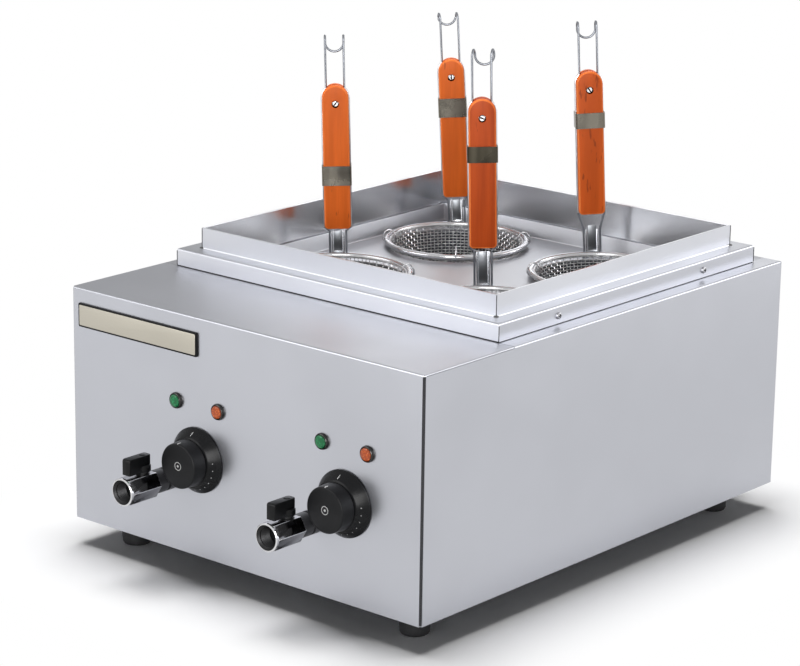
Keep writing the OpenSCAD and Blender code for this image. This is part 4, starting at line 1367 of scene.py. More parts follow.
@dataclass
class Basket:
    """One strainer basket: ring with clips and bracket, woven bowl, handle wire, grip and band."""

    palette: Palette
    corner: str
    turn: float
    lean: float
    rise: float
    bracket_h: float
    band_h: float
    band_drop: float
    skew: float
    tongue_up: float = 0.0
    wood: Wood = Wood.EVEN
    strip: Strip = Strip.PALE
    ring_r: float = 68.8
    bar_d: float = 5.2
    clip_d: float = 1.8
    clip_arch: float = 9.4
    clip_half: float = 6.0
    bowl_wall: float = 1.6
    bowl_depth: float = 110.4
    bowl_run: float = 151.0
    bowl_round: float = 34.0
    bowl_taper: float = 9.0
    weave: float = 3.0
    weave_d: float = 0.9
    spokes: int = 104
    spoke_ends: Triple = (5.0, 20.0, 39.0)
    wire_d: float = 2.2
    wire_proud: float = 1.2
    wire_y: float = 73.2
    grip_l: float = 140.0
    grip_w: float = 25.5
    grip_t: float = 15.0
    grip_corner: float = 4.0
    groove: float = 2.3
    loop_w: float = 17.5
    loop_rise: float = 46.0
    loop_fold: float = 4.5
    loop_dip: float = 16.0
    bracket_w: float = 12.6
    bracket_t: float = 4.4
    bracket_lip: float = 1.2
    bracket_low: float = 4.0
    bracket_wire: float = 16.0
    clench: float = 5.0
    band_side: float = 1.45
    band_face: float = 0.9
    band_t: float = 0.8
    hole_d: float = 7.0
    hole_drop: float = 18.0
    pin_d: float = 5.4
    pin_sink: float = 1.8
    pin_turn: float = -50.0
    centre: Vector = field(init=False)
    body: str = field(init=False)

    def __post_init__(self) -> None:
        """Finds the basket's place and body in the frame."""
        self.centre = joint_place(f"{self.corner}_basket_lift")
        self.body = f"{self.corner}_basket"

    def build(self) -> None:
        """Builds and dresses every piece of the basket."""
        self.ring()
        self.bowl()
        self.bracket()
        self.handle_wire()
        self.grip()
        self.pin()
        self.band()

    def at_basket(self) -> Matrix:
        """Matrix from the basket's own frame, with its handle along +Y, to the object's."""
        return Matrix.Translation(self.centre) @ Matrix.Rotation(math.radians(self.turn), 4, "Z")

    def at_handle(self) -> Matrix:
        """Matrix from the handle's own frame, upright at its foot, to the object's."""
        foot = Matrix.Translation((0.0, MM * self.wire_y, 0.0))
        return self.at_basket() @ foot @ Matrix.Rotation(math.radians(-self.lean), 4, "Y")

    def piece(self, name: str, obj: bpy.types.Object, matrix: Matrix) -> bpy.types.Object:
        """Names a piece and moves its mesh into place.

        Args:
            name: the piece's name after its corner's.
            obj: the piece.
            matrix: from the piece's own frame to the object's.

        Returns:
            The piece.
        """
        obj.name = f"{self.corner}_{name}"
        obj.data.transform(matrix)
        return obj

    def ring(self) -> None:
        """Ring bar with three wire clips that arch over it into the bowl."""
        half = MM * self.bar_d / 2
        bpy.ops.object.select_all(action="DESELECT")
        bpy.ops.mesh.primitive_torus_add(
            major_radius=MM * self.ring_r, minor_radius=half, major_segments=128, minor_segments=20
        )
        parts = [Bench.settle("bar")]
        r = self.clip_d / 2
        outer = self.ring_r + self.bar_d / 2 + r
        inner = outer - 2 * self.clip_half
        loop = [(self.ring_r, -self.bar_d / 2 - r), (outer - 1.2, 0.9 - self.bar_d / 2)]
        for k in range(17):
            a = math.pi * k / 16
            loop.append((outer - self.clip_half + self.clip_half * math.cos(a), self.clip_arch * math.sin(a)))
        loop += [(inner + 0.3, -4.0), (inner + 1.3, -9.0), (inner + 3.4, -13.5)]
        for angle in (0.0, 180.0, 270.0):
            way = Vector((math.cos(math.radians(angle)), math.sin(math.radians(angle)), 0.0))
            path = [MM * (rho * way + z * Z_AXIS) for rho, z in loop]
            parts.append(Bench.tube("clip", path, MM * r))
        obj = self.piece("ring_and_clips", Bench.join("ring", parts), self.at_basket())
        Bench.paint(obj, self.palette.bar)
        Bench.hand_over(obj, self.body, "basket_steel", f"{self.corner}_basket_ring", angle=50.0)

    def bowl_line(self, count: int) -> np.ndarray:
        """Outline of the bowl's middle surface, evenly spaced.

        Args:
            count: number of points.

        Returns:
            Rows of radius and height in millimetres, from the rim to the bottom.
        """
        half = self.bowl_wall / 2
        rim = self.ring_r - self.bar_d / 2 - half
        shoulder = rim - self.bowl_taper
        drop = self.bowl_depth - self.bowl_round
        wall = np.linspace((rim, 0.0), (shoulder, -drop), 200)
        a = np.linspace(0.0, math.pi / 2, 200)
        dish = np.stack((shoulder * np.cos(a), -drop - (self.bowl_round - half) * np.sin(a)), 1)
        line = np.concatenate((wall, dish[1:]))
        along = np.concatenate(([0.0], np.cumsum(np.linalg.norm(np.diff(line, axis=0), axis=1))))
        even = np.linspace(0.0, along[-1], count)
        return np.stack((np.interp(even, along, line[:, 0]), np.interp(even, along, line[:, 1])), 1)

    def bowl(self) -> None:
        """Woven wire bowl: hoops and spokes that pass over and under each other."""
        hoops = int(self.bowl_run / self.weave)
        line = self.bowl_line(2 * hoops + 1)
        points: list[np.ndarray] = []
        faces: list[np.ndarray] = []
        for hoop in range(hoops):
            row = np.full(2 * self.spokes, 2 * hoop + 1)
            if line[row[0], 0] < self.spoke_ends[0]:
                continue
            step = np.arange(2 * self.spokes)
            sign = np.cos(step * math.pi / 2) * (-1.0) ** hoop
            self.strand(points, faces, *self.on_bowl(line, row, step, sign), True)
        for spoke in range(self.spokes):
            rank = 0 if spoke % 4 == 0 else 1 if spoke % 2 == 0 else 2
            row = np.flatnonzero(line[:, 0] >= self.spoke_ends[rank])
            step = np.full(len(row), 2 * spoke)
            sign = -np.sin(row * math.pi / 2) * (-1.0) ** spoke
            self.strand(points, faces, *self.on_bowl(line, row, step, sign), False)
        obj = Bench.mesh("weave", MM * np.concatenate(points), [], np.concatenate(faces))
        rim = MM * (self.ring_r - self.bar_d / 2 - self.bowl_wall / 2)
        turn = np.arange(2 * self.spokes) * math.pi / self.spokes
        circle = [Vector((rim * math.cos(a), rim * math.sin(a), 0.0)) for a in turn]
        obj = Bench.join("weave", [obj, Bench.tube("rim", circle, MM * self.bowl_wall / 2, True)])
        obj = self.piece("woven_bowl", obj, self.at_basket())
        Bench.paint(obj, self.palette.mesh)
        Bench.hand_over(obj, self.body, "mesh_steel", f"{self.corner}_bowl", angle=80.0)

    def on_bowl(
        self, line: np.ndarray, row: np.ndarray, step: np.ndarray, sign: np.ndarray
    ) -> tuple[np.ndarray, np.ndarray]:
        """Finds where a wire of the weave runs on the bowl.

        Args:
            line: the bowl's outline.
            row: rows of the outline.
            step: half-spoke steps round the bowl.
            sign: 1 where the wire passes outside, -1 where it passes inside.

        Returns:
            The wire's points in millimetres, and the bowl's outward normals there.
        """
        slope = np.gradient(line, axis=0)
        slope /= np.linalg.norm(slope, axis=1)[:, None]
        turn = step * math.pi / self.spokes
        c, s = np.cos(turn), np.sin(turn)
        out = np.stack((-slope[row, 1] * c, -slope[row, 1] * s, slope[row, 0]), 1)
        base = np.stack((line[row, 0] * c, line[row, 0] * s, line[row, 1]), 1)
        return base + self.weave_d / 2 * sign[:, None] * out, out

    def strand(
        self,
        points: list[np.ndarray],
        faces: list[np.ndarray],
        path: np.ndarray,
        out: np.ndarray,
        closed: bool,
    ) -> None:
        """Adds one wire of the weave as a four-sided tube.

        Args:
            points: points so far, added to.
            faces: faces so far, added to.
            path: the wire's middle line in millimetres.
            out: the bowl's outward normals along it.
            closed: whether the wire is a hoop.
        """
        ahead = np.roll(path, -1, 0) - np.roll(path, 1, 0)
        if not closed:
            ahead[0], ahead[-1] = path[1] - path[0], path[-1] - path[-2]
        across = np.cross(ahead / np.linalg.norm(ahead, axis=1)[:, None], out)
        r = self.weave_d / 2
        rings = np.stack((path + r * out, path + r * across, path - r * out, path - r * across), 1)
        first = sum(len(p) for p in points)
        count = len(path)
        number = first + np.arange(4 * count).reshape(count, 4)
        after = np.roll(number, -1, 0)
        if not closed:
            number, after = number[:-1], after[:-1]
        quads = np.stack((number, np.roll(number, -1, 1), np.roll(after, -1, 1), after), 2)
        points.append(rings.reshape(-1, 3))
        faces.append(quads.reshape(-1, 4))

    def bracket(self) -> None:
        """Channel between both wires, clenched round them at its foot, with a pressed tongue."""
        w, lip, foot = self.bracket_w / 2, self.bracket_lip, -self.bracket_low
        top = self.bracket_h - self.bracket_low
        front, back = -self.bracket_t / 2, 0.4
        obj = Bench.cube("channel", MM * Vector((-w, front, foot)), MM * Vector((w, back, top)))
        inside = Bench.cube(
            "inside",
            MM * Vector((lip - w, front - 1.0, foot + 1.5)),
            MM * Vector((w - lip, back - 1.0, top + 1.0)),
        )
        Bench.carve(obj, inside)
        parts = [obj]
        reach = self.bracket_wire / 2 + self.wire_d
        for sign in (-1, 1):
            ends = sorted((sign * (w - 0.3), sign * reach))
            low, high = Vector((ends[0], front, foot)), Vector((ends[1], -front, foot + self.clench))
            parts.append(Bench.cube("clench", MM * low, MM * high))
        for part in parts:
            Bench.soften(part, MM * 0.35, 2)
        obj = self.piece("bracket", Bench.join("bracket", parts), self.at_handle())
        Bench.paint(obj, self.palette.bracket)
        Bench.hand_over(obj, self.body, "basket_steel")
        tongue = Bench.cube(
            "tongue",
            MM * Vector((lip - w + 0.9, back - 1.6, self.bar_d / 2 + 0.8)),
            MM * Vector((w - lip - 0.9, back - 0.6, top + self.tongue_up)),
        )
        Bench.bevel(tongue, lambda m, d: m.y < MM * (back - 1.5), MM * 0.4, 2)
        tongue = self.piece("bracket_tongue", tongue, self.at_handle())
        Bench.paint(tongue, self.palette.tongue)
        Bench.hand_over(tongue, self.body, "basket_steel")

    def half_wire(self, skew: float) -> list[Vector]:
        """Left half of the handle wire, from the bracket to the middle of the folded loop.

        Args:
            skew: sideways set of the loop.

        Returns:
            Points in millimetres.
        """
        top = self.rise + self.grip_l
        peak = top + self.loop_rise
        side = self.grip_w / 2 - self.wire_d / 2 + self.wire_proud
        half, fold = self.loop_w / 2, self.loop_fold
        bend_z = self.bracket_h - self.bracket_low
        path = [Vector((-self.bracket_wire / 2, 0.0, 1.1 - self.bracket_low))]
        path.append(Vector((-self.bracket_wire / 2, 0.0, bend_z)))
        path.append(Vector((-side, 0.0, self.rise + 1.0)))
        leave = math.acos(half / side)
        for k in range(13):
            a = leave * k / 12
            path.append(Vector((-side * math.cos(a), 0.0, top - self.grip_w / 2 + side * math.sin(a))))
        for k in range(13):
            a = math.pi * k / 12
            x = skew * k / 12 - half
            path.append(Vector((x, fold * (1 - math.cos(a)), peak - fold + fold * math.sin(a))))
        for k in range(1, 12):
            a = math.pi / 2 * k / 12
            z = peak - self.loop_dip + half - half * math.sin(a)
            path.append(Vector((skew - half * math.cos(a), 2 * fold, z)))
        return path

    def handle_wire(self) -> None:
        """Handle wire, from the bracket round the grip to its folded hanging loop."""
        left = self.half_wire(self.skew)
        right = [Vector((-p.x, p.y, p.z)) for p in reversed(self.half_wire(-self.skew))]
        dip_z = self.rise + self.grip_l + self.loop_rise - self.loop_dip
        lowest = Vector((self.skew, 2 * self.loop_fold, dip_z))
        path = [MM * p for p in (*left, lowest, *right)]
        obj = Bench.tube("wire", path, MM * self.wire_d / 2)
        # Faces along the grip take the paler wire finish.
        Bench.paint(obj, self.palette.wire, self.palette.grip_run_wire)
        low, high = MM * (self.rise + 2.0), MM * (self.rise + self.grip_l - 2.0)
        for face in obj.data.polygons:
            face.material_index = int(low < face.center.z < high)
        obj = self.piece("wire", obj, self.at_handle())
        Bench.hand_over(obj, self.body, "wire_steel", f"{self.corner}_handle_wire", angle=60.0)

    def outline(self, inset: float) -> list[Pair]:
        """Outline of the grip: a round top and two rounded lower corners.

        Args:
            inset: how far inside the grip's own edge, in millimetres.

        Returns:
            (x, z) pairs, anticlockwise from the lower left.
        """
        half, corner = self.grip_w / 2 - inset, self.grip_corner
        low, top = self.rise + inset, self.rise + self.grip_l - self.grip_w / 2
        arcs = [
            (corner - half, low + corner, corner, 180.0, 270.0, 6),
            (half - corner, low + corner, corner, 270.0, 360.0, 6),
            (0.0, top, half, 0.0, 180.0, 28),
        ]
        return [
            (x + r * math.cos(math.radians(a)), z + r * math.sin(math.radians(a)))
            for x, z, r, start, end, count in arcs
            for a in np.linspace(start, end, count)
        ]

    def grip(self) -> None:
        """Wooden grip with rounded faces, a groove for the wire and a cross hole."""
        deep, cut = self.grip_t / 2, self.wire_d / 2 + 0.2
        # The rounded edges take a lighter copy of the wood as painted highlight, and the hole's wall a
        # near-black finish as painted shade.
        woods = (getattr(self.palette, self.wood), self.palette.rounded, self.palette.recess_shade_wood)
        halves = []
        for k, (near, far) in enumerate(((-deep, -cut), (cut, deep))):
            face = MM * (near if k == 0 else far)
            half = Bench.slab(f"half_{k}", self.outline(0.0), (near, far))
            Bench.paint(half, *woods)
            Bench.bevel(half, lambda m, d: abs(m.y - face) < 1e-5 and abs(d.y) < 0.1, MM * 1.5, 3, 1)
            halves.append(half)
        core = Bench.slab("core", self.outline(self.groove), (-cut - 0.2, cut + 0.2))
        Bench.paint(core, *woods)
        obj = Bench.join("grip", [*halves, core])
        z = MM * (self.rise + self.grip_l - self.hole_drop)
        ends = [Vector((0.0, -MM * self.grip_t, z)), Vector((0.0, MM * self.grip_t, z))]
        Bench.carve(obj, Bench.bar("drill", MM * self.hole_d / 2, ends, 32), slot=2)
        obj = self.piece("wooden_grip", obj, self.at_handle())
        Bench.hand_over(obj, self.body, "grip_wood", f"{self.corner}_grip", angle=40.0)

    def pin(self) -> None:
        """Slotted pin across the grip, sunk in its hole."""
        r, half = MM * self.pin_d / 2, MM * (self.grip_t / 2 - self.pin_sink)
        z = MM * (self.rise + self.grip_l - self.hole_drop)
        obj = Bench.bar("pin", r, [-half * Y_AXIS, half * Y_AXIS], 32)
        # The slots take the near-black recess finish, as painted shade.
        Bench.paint(obj, self.palette.pin, self.palette.recess_shade_wood)
        Bench.bevel(obj, lambda m, d: abs(d.y) < 0.1, MM * 0.25, 1)
        for sign in (-1, 1):
            ends = sorted((sign * (half - MM * 1.4), sign * (half + MM)))
            slot = Bench.cube("slot", (-2 * r, ends[0], -MM * 0.65), (2 * r, ends[1], MM * 0.65))
            slot.data.transform(Matrix.Rotation(math.radians(self.pin_turn), 4, "Y"))
            Bench.carve(obj, slot, slot=1)
        obj = self.piece("grip_pin", obj, self.at_handle() @ Matrix.Translation((0.0, 0.0, z)))
        Bench.hand_over(obj, self.body, "basket_steel", angle=20.0)

    def band(self) -> None:
        """Steel strip closed round the grip and the wire, with its lapped end at the back."""
        x, y = self.grip_w / 2 + self.band_side, self.grip_t / 2 + self.band_face
        top = self.rise + self.grip_l - self.band_drop
        low = top - self.band_h
        obj = Bench.cube("strip", MM * Vector((-x, -y, low)), MM * Vector((x, y, top)))
        Bench.bevel(obj, lambda m, d: abs(d.z) > 0.9, MM * 2.2, 5)
        Bench.cut_away(obj, lambda m, n: abs(n.z) > 0.9)
        Bench.thicken(obj, MM * self.band_t)
        lap = Bench.cube(
            "lap",
            MM * Vector((-4.0, y - 0.2, low + 0.3)),
            MM * Vector((6.0, y + 0.5, top - 0.3)),
        )
        Bench.bevel(lap, lambda m, d: m.y > MM * y, MM * 0.25, 2)
        obj = self.piece("steel_band", Bench.join("band", [obj, lap]), self.at_handle())
        Bench.paint(obj, getattr(self.palette, self.strip))
        Bench.hand_over(obj, self.body, "band_steel", f"{self.corner}_grip_band")


@dataclass
class DrainValve:
    """Hexagonal drain valve with its lever."""

    palette: Palette
    side: Side
    front: float = 26.0
    rear: float = 11.0
    flat_r: float = 11.4
    ring_r: float = 12.7
    ring_l: float = 3.0
    mouth_r: float = 9.3
    mouth_depth: float = 15.0
    water_r: float = 5.0
    neck_r: float = 5.6
    neck_top: float = 13.9
    lever_low: float = 14.2
    lever_h: float = 15.0
    lever_l: float = 20.5
    lever_back: float = 6.8
    lever_t: float = 9.4
    hub_r: float = 7.5
    thread: float = 1.8
    at: Vector = field(init=False)

    def __post_init__(self) -> None:
        """Finds the ball's middle in the frame."""
        self.at = joint_place(f"{self.side}_valve_turn")

    def build(self) -> None:
        """Builds and dresses the body and the lever."""
        self.hexagon()
        self.mouth_thread()
        self.lever()

    def hexagon(self) -> None:
        """Hexagonal body with a turned front ring, a bored mouth and a neck."""
        ends = [self.at - MM * (self.front - self.ring_l + 0.6) * Y_AXIS, self.at + MM * self.rear * Y_AXIS]
        obj = Bench.hexagon(f"{self.side}_valve_body", MM * self.flat_r, ends)
        # The flats take the dark copy of the plating as painted shade, the bevels and the front ring the
        # light copy as painted highlight, and the mouth, bore, ball room and neck the near-black finish as
        # painted shade.
        Bench.paint(obj, self.palette.shaded_plating, self.palette.lit_plating, self.palette.bore)
        Bench.bevel(obj, lambda m, d: abs(d.y) > 0.9, MM * 0.5, 2, 1)
        Bench.bevel(obj, lambda m, d: abs(d.y) < 0.1, MM * 0.7, 2, 1)
        f, s, r = -self.front, self.ring_l - self.front, self.ring_r
        ring = [(0.0, f), (r - 0.7, f), (r, f + 0.6), (r, s - 0.4), (r - 0.9, s + 0.5), (0.0, s + 0.5)]
        Bench.carve(obj, Bench.lathe("front_ring", ring, Y_AXIS, self.at, 64), "UNION", slot=1)
        n, top, flat = self.neck_r, self.neck_top, self.flat_r
        neck = [(0.0, 6.0), (n + 1.0, 6.0), (n + 1.0, flat + 0.4), (n, flat + 0.8), (n, top), (0.0, top)]
        Bench.carve(obj, Bench.lathe("neck", neck, Z_AXIS, self.at, 40), "UNION", slot=2)
        bottom, wide = self.mouth_depth - self.front, self.mouth_r
        bore = [(0.0, f - 1.0), (r - 0.7, f - 1.0), (wide + 0.4, f + 2.2), (wide, f + 2.4), (wide, bottom)]
        bore += [(self.water_r, bottom + 1.0), (self.water_r, self.rear + 1.0), (0.0, self.rear + 1.0)]
        Bench.carve(obj, Bench.lathe("bore", bore, Y_AXIS, self.at, 64), slot=2)
        low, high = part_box(f"{self.side}_valve_ball")
        room = (high.z - low.z) / 2 / MM + 0.3
        turns = np.linspace(-math.pi / 2, math.pi / 2, 25)
        arc = [(max(0.0, room * math.cos(a)), room * math.sin(a)) for a in turns]
        Bench.carve(obj, Bench.lathe("ball_room", arc, Z_AXIS, self.at, 48), slot=2)
        Bench.hand_over(obj, "case", "valve_plating", "valve_bodies", angle=28.0)

    def mouth_thread(self) -> None:
        """Pipe thread inside the mouth, wound as a helix."""
        turns = int((self.mouth_depth - 4.0) / self.thread)
        start, r, half = 2.6, self.mouth_r, self.thread / 2
        crest = ((r + 0.05, 0.0), (r - 0.8, half), (r + 0.05, 2 * half))
        points = [MM * Vector((x, 0.0, z)) for x, z in crest]
        obj = Bench.mesh(f"{self.side}_mouth_thread", points, [(0, 1), (1, 2)], [])
        Bench.modify(
            obj,
            "SCREW",
            axis="Z",
            screw_offset=MM * self.thread,
            iterations=turns,
            steps=48,
            render_steps=48,
            use_merge_vertices=True,
            merge_threshold=1e-6,
        )
        mouth = Matrix.Translation(self.at - MM * (self.front - start) * Y_AXIS)
        obj.data.transform(mouth @ Matrix.Rotation(-math.pi / 2, 4, "X"))
        Bench.modify(obj, "SOLIDIFY", thickness=MM * 0.1, offset=0.0)
        # The thread takes the near-black bore finish, as painted shade.
        Bench.paint(obj, self.palette.bore)
        Bench.hand_over(obj, "case", "valve_plating")

    def lever(self) -> None:
        """Fin lever with a round hub and a screw cap."""
        low, top, half = self.lever_low, self.lever_low + self.lever_h, self.lever_t / 2
        fin = Bench.cube(
            f"{self.side}_lever_fin",
            self.at + MM * Vector((-half, -self.lever_l, low)),
            self.at + MM * Vector((half, self.lever_back, top)),
        )
        front, brow = self.at.y - MM * (self.lever_l - 0.2), self.at.z + MM * (top - 2.0)
        Bench.bevel(fin, lambda m, d: abs(d.x) > 0.9 and m.y < front and m.z > brow, MM * 2.0, 2)
        Bench.bevel(fin, lambda m, d: abs(d.z) > 0.9 and m.y > self.at.y, MM * 3.0, 5)
        Bench.soften(fin, MM * 0.6, 3)
        h = self.hub_r
        hub = [(0.0, low), (h - 0.6, low), (h, low + 0.6), (h, low + 5.4)]
        hub += [(h - 0.9, low + 6.3), (0.0, low + 6.3)]
        Bench.carve(fin, Bench.lathe("hub", hub, Z_AXIS, self.at, 40), "UNION")
        Bench.paint(fin, self.palette.lever)
        Bench.hand_over(fin, f"{self.side}_valve", "lever_plastic", f"{self.side}_valve_lever")
        cap = [(0.0, top - 3.0), (3.4, top - 3.0), (3.4, top + 0.1)]
        cap += [(2.9, top + 0.45), (1.5, top + 0.6), (0.0, top + 0.6)]
        screw = Bench.lathe(f"{self.side}_lever_cap", cap, Z_AXIS, self.at, 32)
        Bench.paint(screw, self.palette.lever)
        Bench.hand_over(screw, f"{self.side}_valve", "screw_steel", f"{self.side}_lever_screw")


@dataclass
class Dial:
    """Thermostat dial: conical bezel with printed marks, and a plain knob."""

    palette: Palette
    side: Side
    bezel_r: float = 30.25
    bezel_top_r: float = 23.0
    bezel_h: float = 11.0
    knob_r: float = 21.5
    knob_low: float = 11.5
    knob_out: float = 25.5
    mark_count: int = 9
    mark_start: float = 8.0
    mark_end: float = -112.0
    at: Vector = field(init=False)

    def __post_init__(self) -> None:
        """Finds the dial's axis on the panel's face."""
        self.at = joint_place(f"{self.side}_dial_turn")

    def build(self) -> None:
        """Builds and dresses the bezel, the knob and their marks."""
        self.bezel()
        self.bezel_marks()
        self.knob()
        self.knob_marks()

    def bezel(self) -> None:
        """Conical bezel with a thin rim."""
        r, t, h = self.bezel_r, self.bezel_top_r, self.bezel_h
        outline = [(5.1, 0.2), (r - 0.4, 0.2), (r, 0.5), (r, 1.5), (r - 0.5, 2.0)]
        outline += [(t + 0.6, h - 0.6), (t - 0.3, h), (5.1, h)]
        obj = Bench.lathe(f"{self.side}_bezel", outline, -Y_AXIS, self.at, 96, True)
        Bench.paint(obj, self.palette.bezel)
        Bench.hand_over(obj, "case", "bezel_plastic", "dial_bezels", angle=35.0)

    def bezel_marks(self) -> None:
        """Dots along the scale and one stroke at the top."""
        share = 0.66
        r = self.bezel_r - 0.5 + (self.bezel_top_r + 0.6 - self.bezel_r + 0.5) * share
        h = 2.0 + (self.bezel_h - 0.6 - 2.0) * share
        slant = math.atan2(self.bezel_r - self.bezel_top_r - 1.1, self.bezel_h - 2.6)
        made = []
        for k in range(self.mark_count + 1):
            stroke = k == self.mark_count
            along_scale = np.interp(k, (0, self.mark_count - 1), (self.mark_start, self.mark_end))
            angle = 90.0 if stroke else along_scale
            out = Vector((math.cos(math.radians(angle)), 0.0, math.sin(math.radians(angle))))
            normal = math.cos(slant) * out - math.sin(slant) * Y_AXIS
            place = self.at + MM * (r * out - h * Y_AXIS)
            ends = [place - MM * 0.15 * normal, place + MM * 0.08 * normal]
            mark = Bench.bar(f"mark_{k}", MM * 0.42, ends, 12)
            if stroke:
                along = (math.sin(slant) * out + math.cos(slant) * Y_AXIS).normalized()
                for vertex in mark.data.vertices:
                    reach = (vertex.co - place).dot(along)
                    vertex.co += along * reach * 5.0
            made.append(mark)
        obj = Bench.join(f"{self.side}_bezel_marks", made)
        Bench.paint(obj, self.palette.print)
        Bench.hand_over(obj, "case", "block_plastic")

    def knob(self) -> None:
        """Round knob with a soft front edge and a slightly dished face."""
        r, low, out = self.knob_r, self.knob_low, self.knob_out
        f = r - 0.8
        outline = [(0.0, low), (r - 0.4, low), (r, low + 0.4)]
        for k in range(7):
            a = math.radians(15.0 * k)
            outline.append((f - 1.4 + 1.4 * math.cos(a), out - 1.4 + 1.4 * math.sin(a)))
        outline += [(f - 2.4, out - 0.12), (0.0, out - 0.3)]
        obj = Bench.lathe(f"{self.side}_round_knob", outline, -Y_AXIS, self.at, 96)
        Bench.paint(obj, self.palette.knob)
        Bench.hand_over(obj, f"{self.side}_dial", "knob_plastic", f"{self.side}_knob", angle=40.0)

    def knob_marks(self) -> None:
        """Printed ring and dot in the middle of the face, and a stroke on the edge."""
        face = self.knob_out - 0.3
        ring = [(3.3, face - 0.1), (3.9, face - 0.1), (3.9, face + 0.06), (3.3, face + 0.06)]
        made = [Bench.lathe("ring_mark", ring, -Y_AXIS, self.at, 40, True)]
        dot = [(0.0, face - 0.1), (1.1, face - 0.1), (1.1, face + 0.06), (0.0, face + 0.06)]
        made.append(Bench.lathe("dot_mark", dot, -Y_AXIS, self.at, 20))
        edge = self.knob_r - 1.0
        stroke = Bench.cube(
            "stroke",
            self.at + MM * Vector((-0.4, -self.knob_out + 0.35, edge - 0.8)),
            self.at + MM * Vector((0.4, -self.knob_out + 4.0, edge + 0.62)),
        )
        ahead = self.at.y - MM * (self.knob_out - 1.0)
        Bench.bevel(stroke, lambda m, d: abs(d.x) > 0.9 and m.y < ahead, MM * 0.9, 3)
        made.append(stroke)
        obj = Bench.join(f"{self.side}_knob_marks", made)
        Bench.paint(obj, self.palette.print)
        Bench.hand_over(obj, f"{self.side}_dial", "block_plastic")


class Tint(StrEnum):
    """Colour of a pilot lamp, as its finish and its nodes are named."""

    GREEN = "green"
    AMBER = "amber"


@dataclass
class Lamps:
    """Pilot lamps of one colour: a thin ring and a domed lens over each knob."""

    palette: Palette
    colour: Tint
    ring_r: float = 7.5
    lens_r: float = 6.1
    barrel_r: float = 5.5
    barrel_l: float = 24.0

    def build(self) -> None:
        """Builds and dresses the lamps' bodies and lenses."""
        low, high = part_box(f"{self.colour}_lenses")
        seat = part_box("front_cover")[0].y
        z = (low.z + high.z) / 2
        reach = (high.z - low.z) / 2
        glass = getattr(self.palette, self.colour)
        r, q = self.ring_r, self.lens_r
        for side, x in zip(Side, (low.x + reach, high.x - reach)):
            at = Vector((x, seat, z))
            b, deep = self.barrel_r, self.barrel_l
            ring = [(0.0, 0.6), (q, 0.6), (q, 2.6), (q + 0.3, 3.0), (r - 0.5, 2.6), (r, 1.4), (r, 0.0)]
            ring += [(b, 0.0), (b, 1.0 - deep), (b - 1.0, -deep), (0.0, -deep)]
            obj = Bench.lathe(f"{side}_{self.colour}_lamp_body", ring, -Y_AXIS, at, 48)
            Bench.paint(obj, self.palette.lamp_ring)
            Bench.hand_over(obj, "case", "lamp_plastic", "lamp_bodies")
            dome = [(0.0, 0.65), (q - 0.1, 0.65), (q - 0.1, 2.9), (q - 0.6, 3.6)]
            dome += [(q - 1.6, 4.2), (2.0, 4.55), (0.0, 4.6)]
            lens = Bench.lathe(f"{side}_{self.colour}_lens", dome, -Y_AXIS, at, 20)
            Bench.paint(lens, glass)
            Bench.hand_over(lens, "case", f"{self.colour}_lens", f"{self.colour}_lenses", angle=20.0)


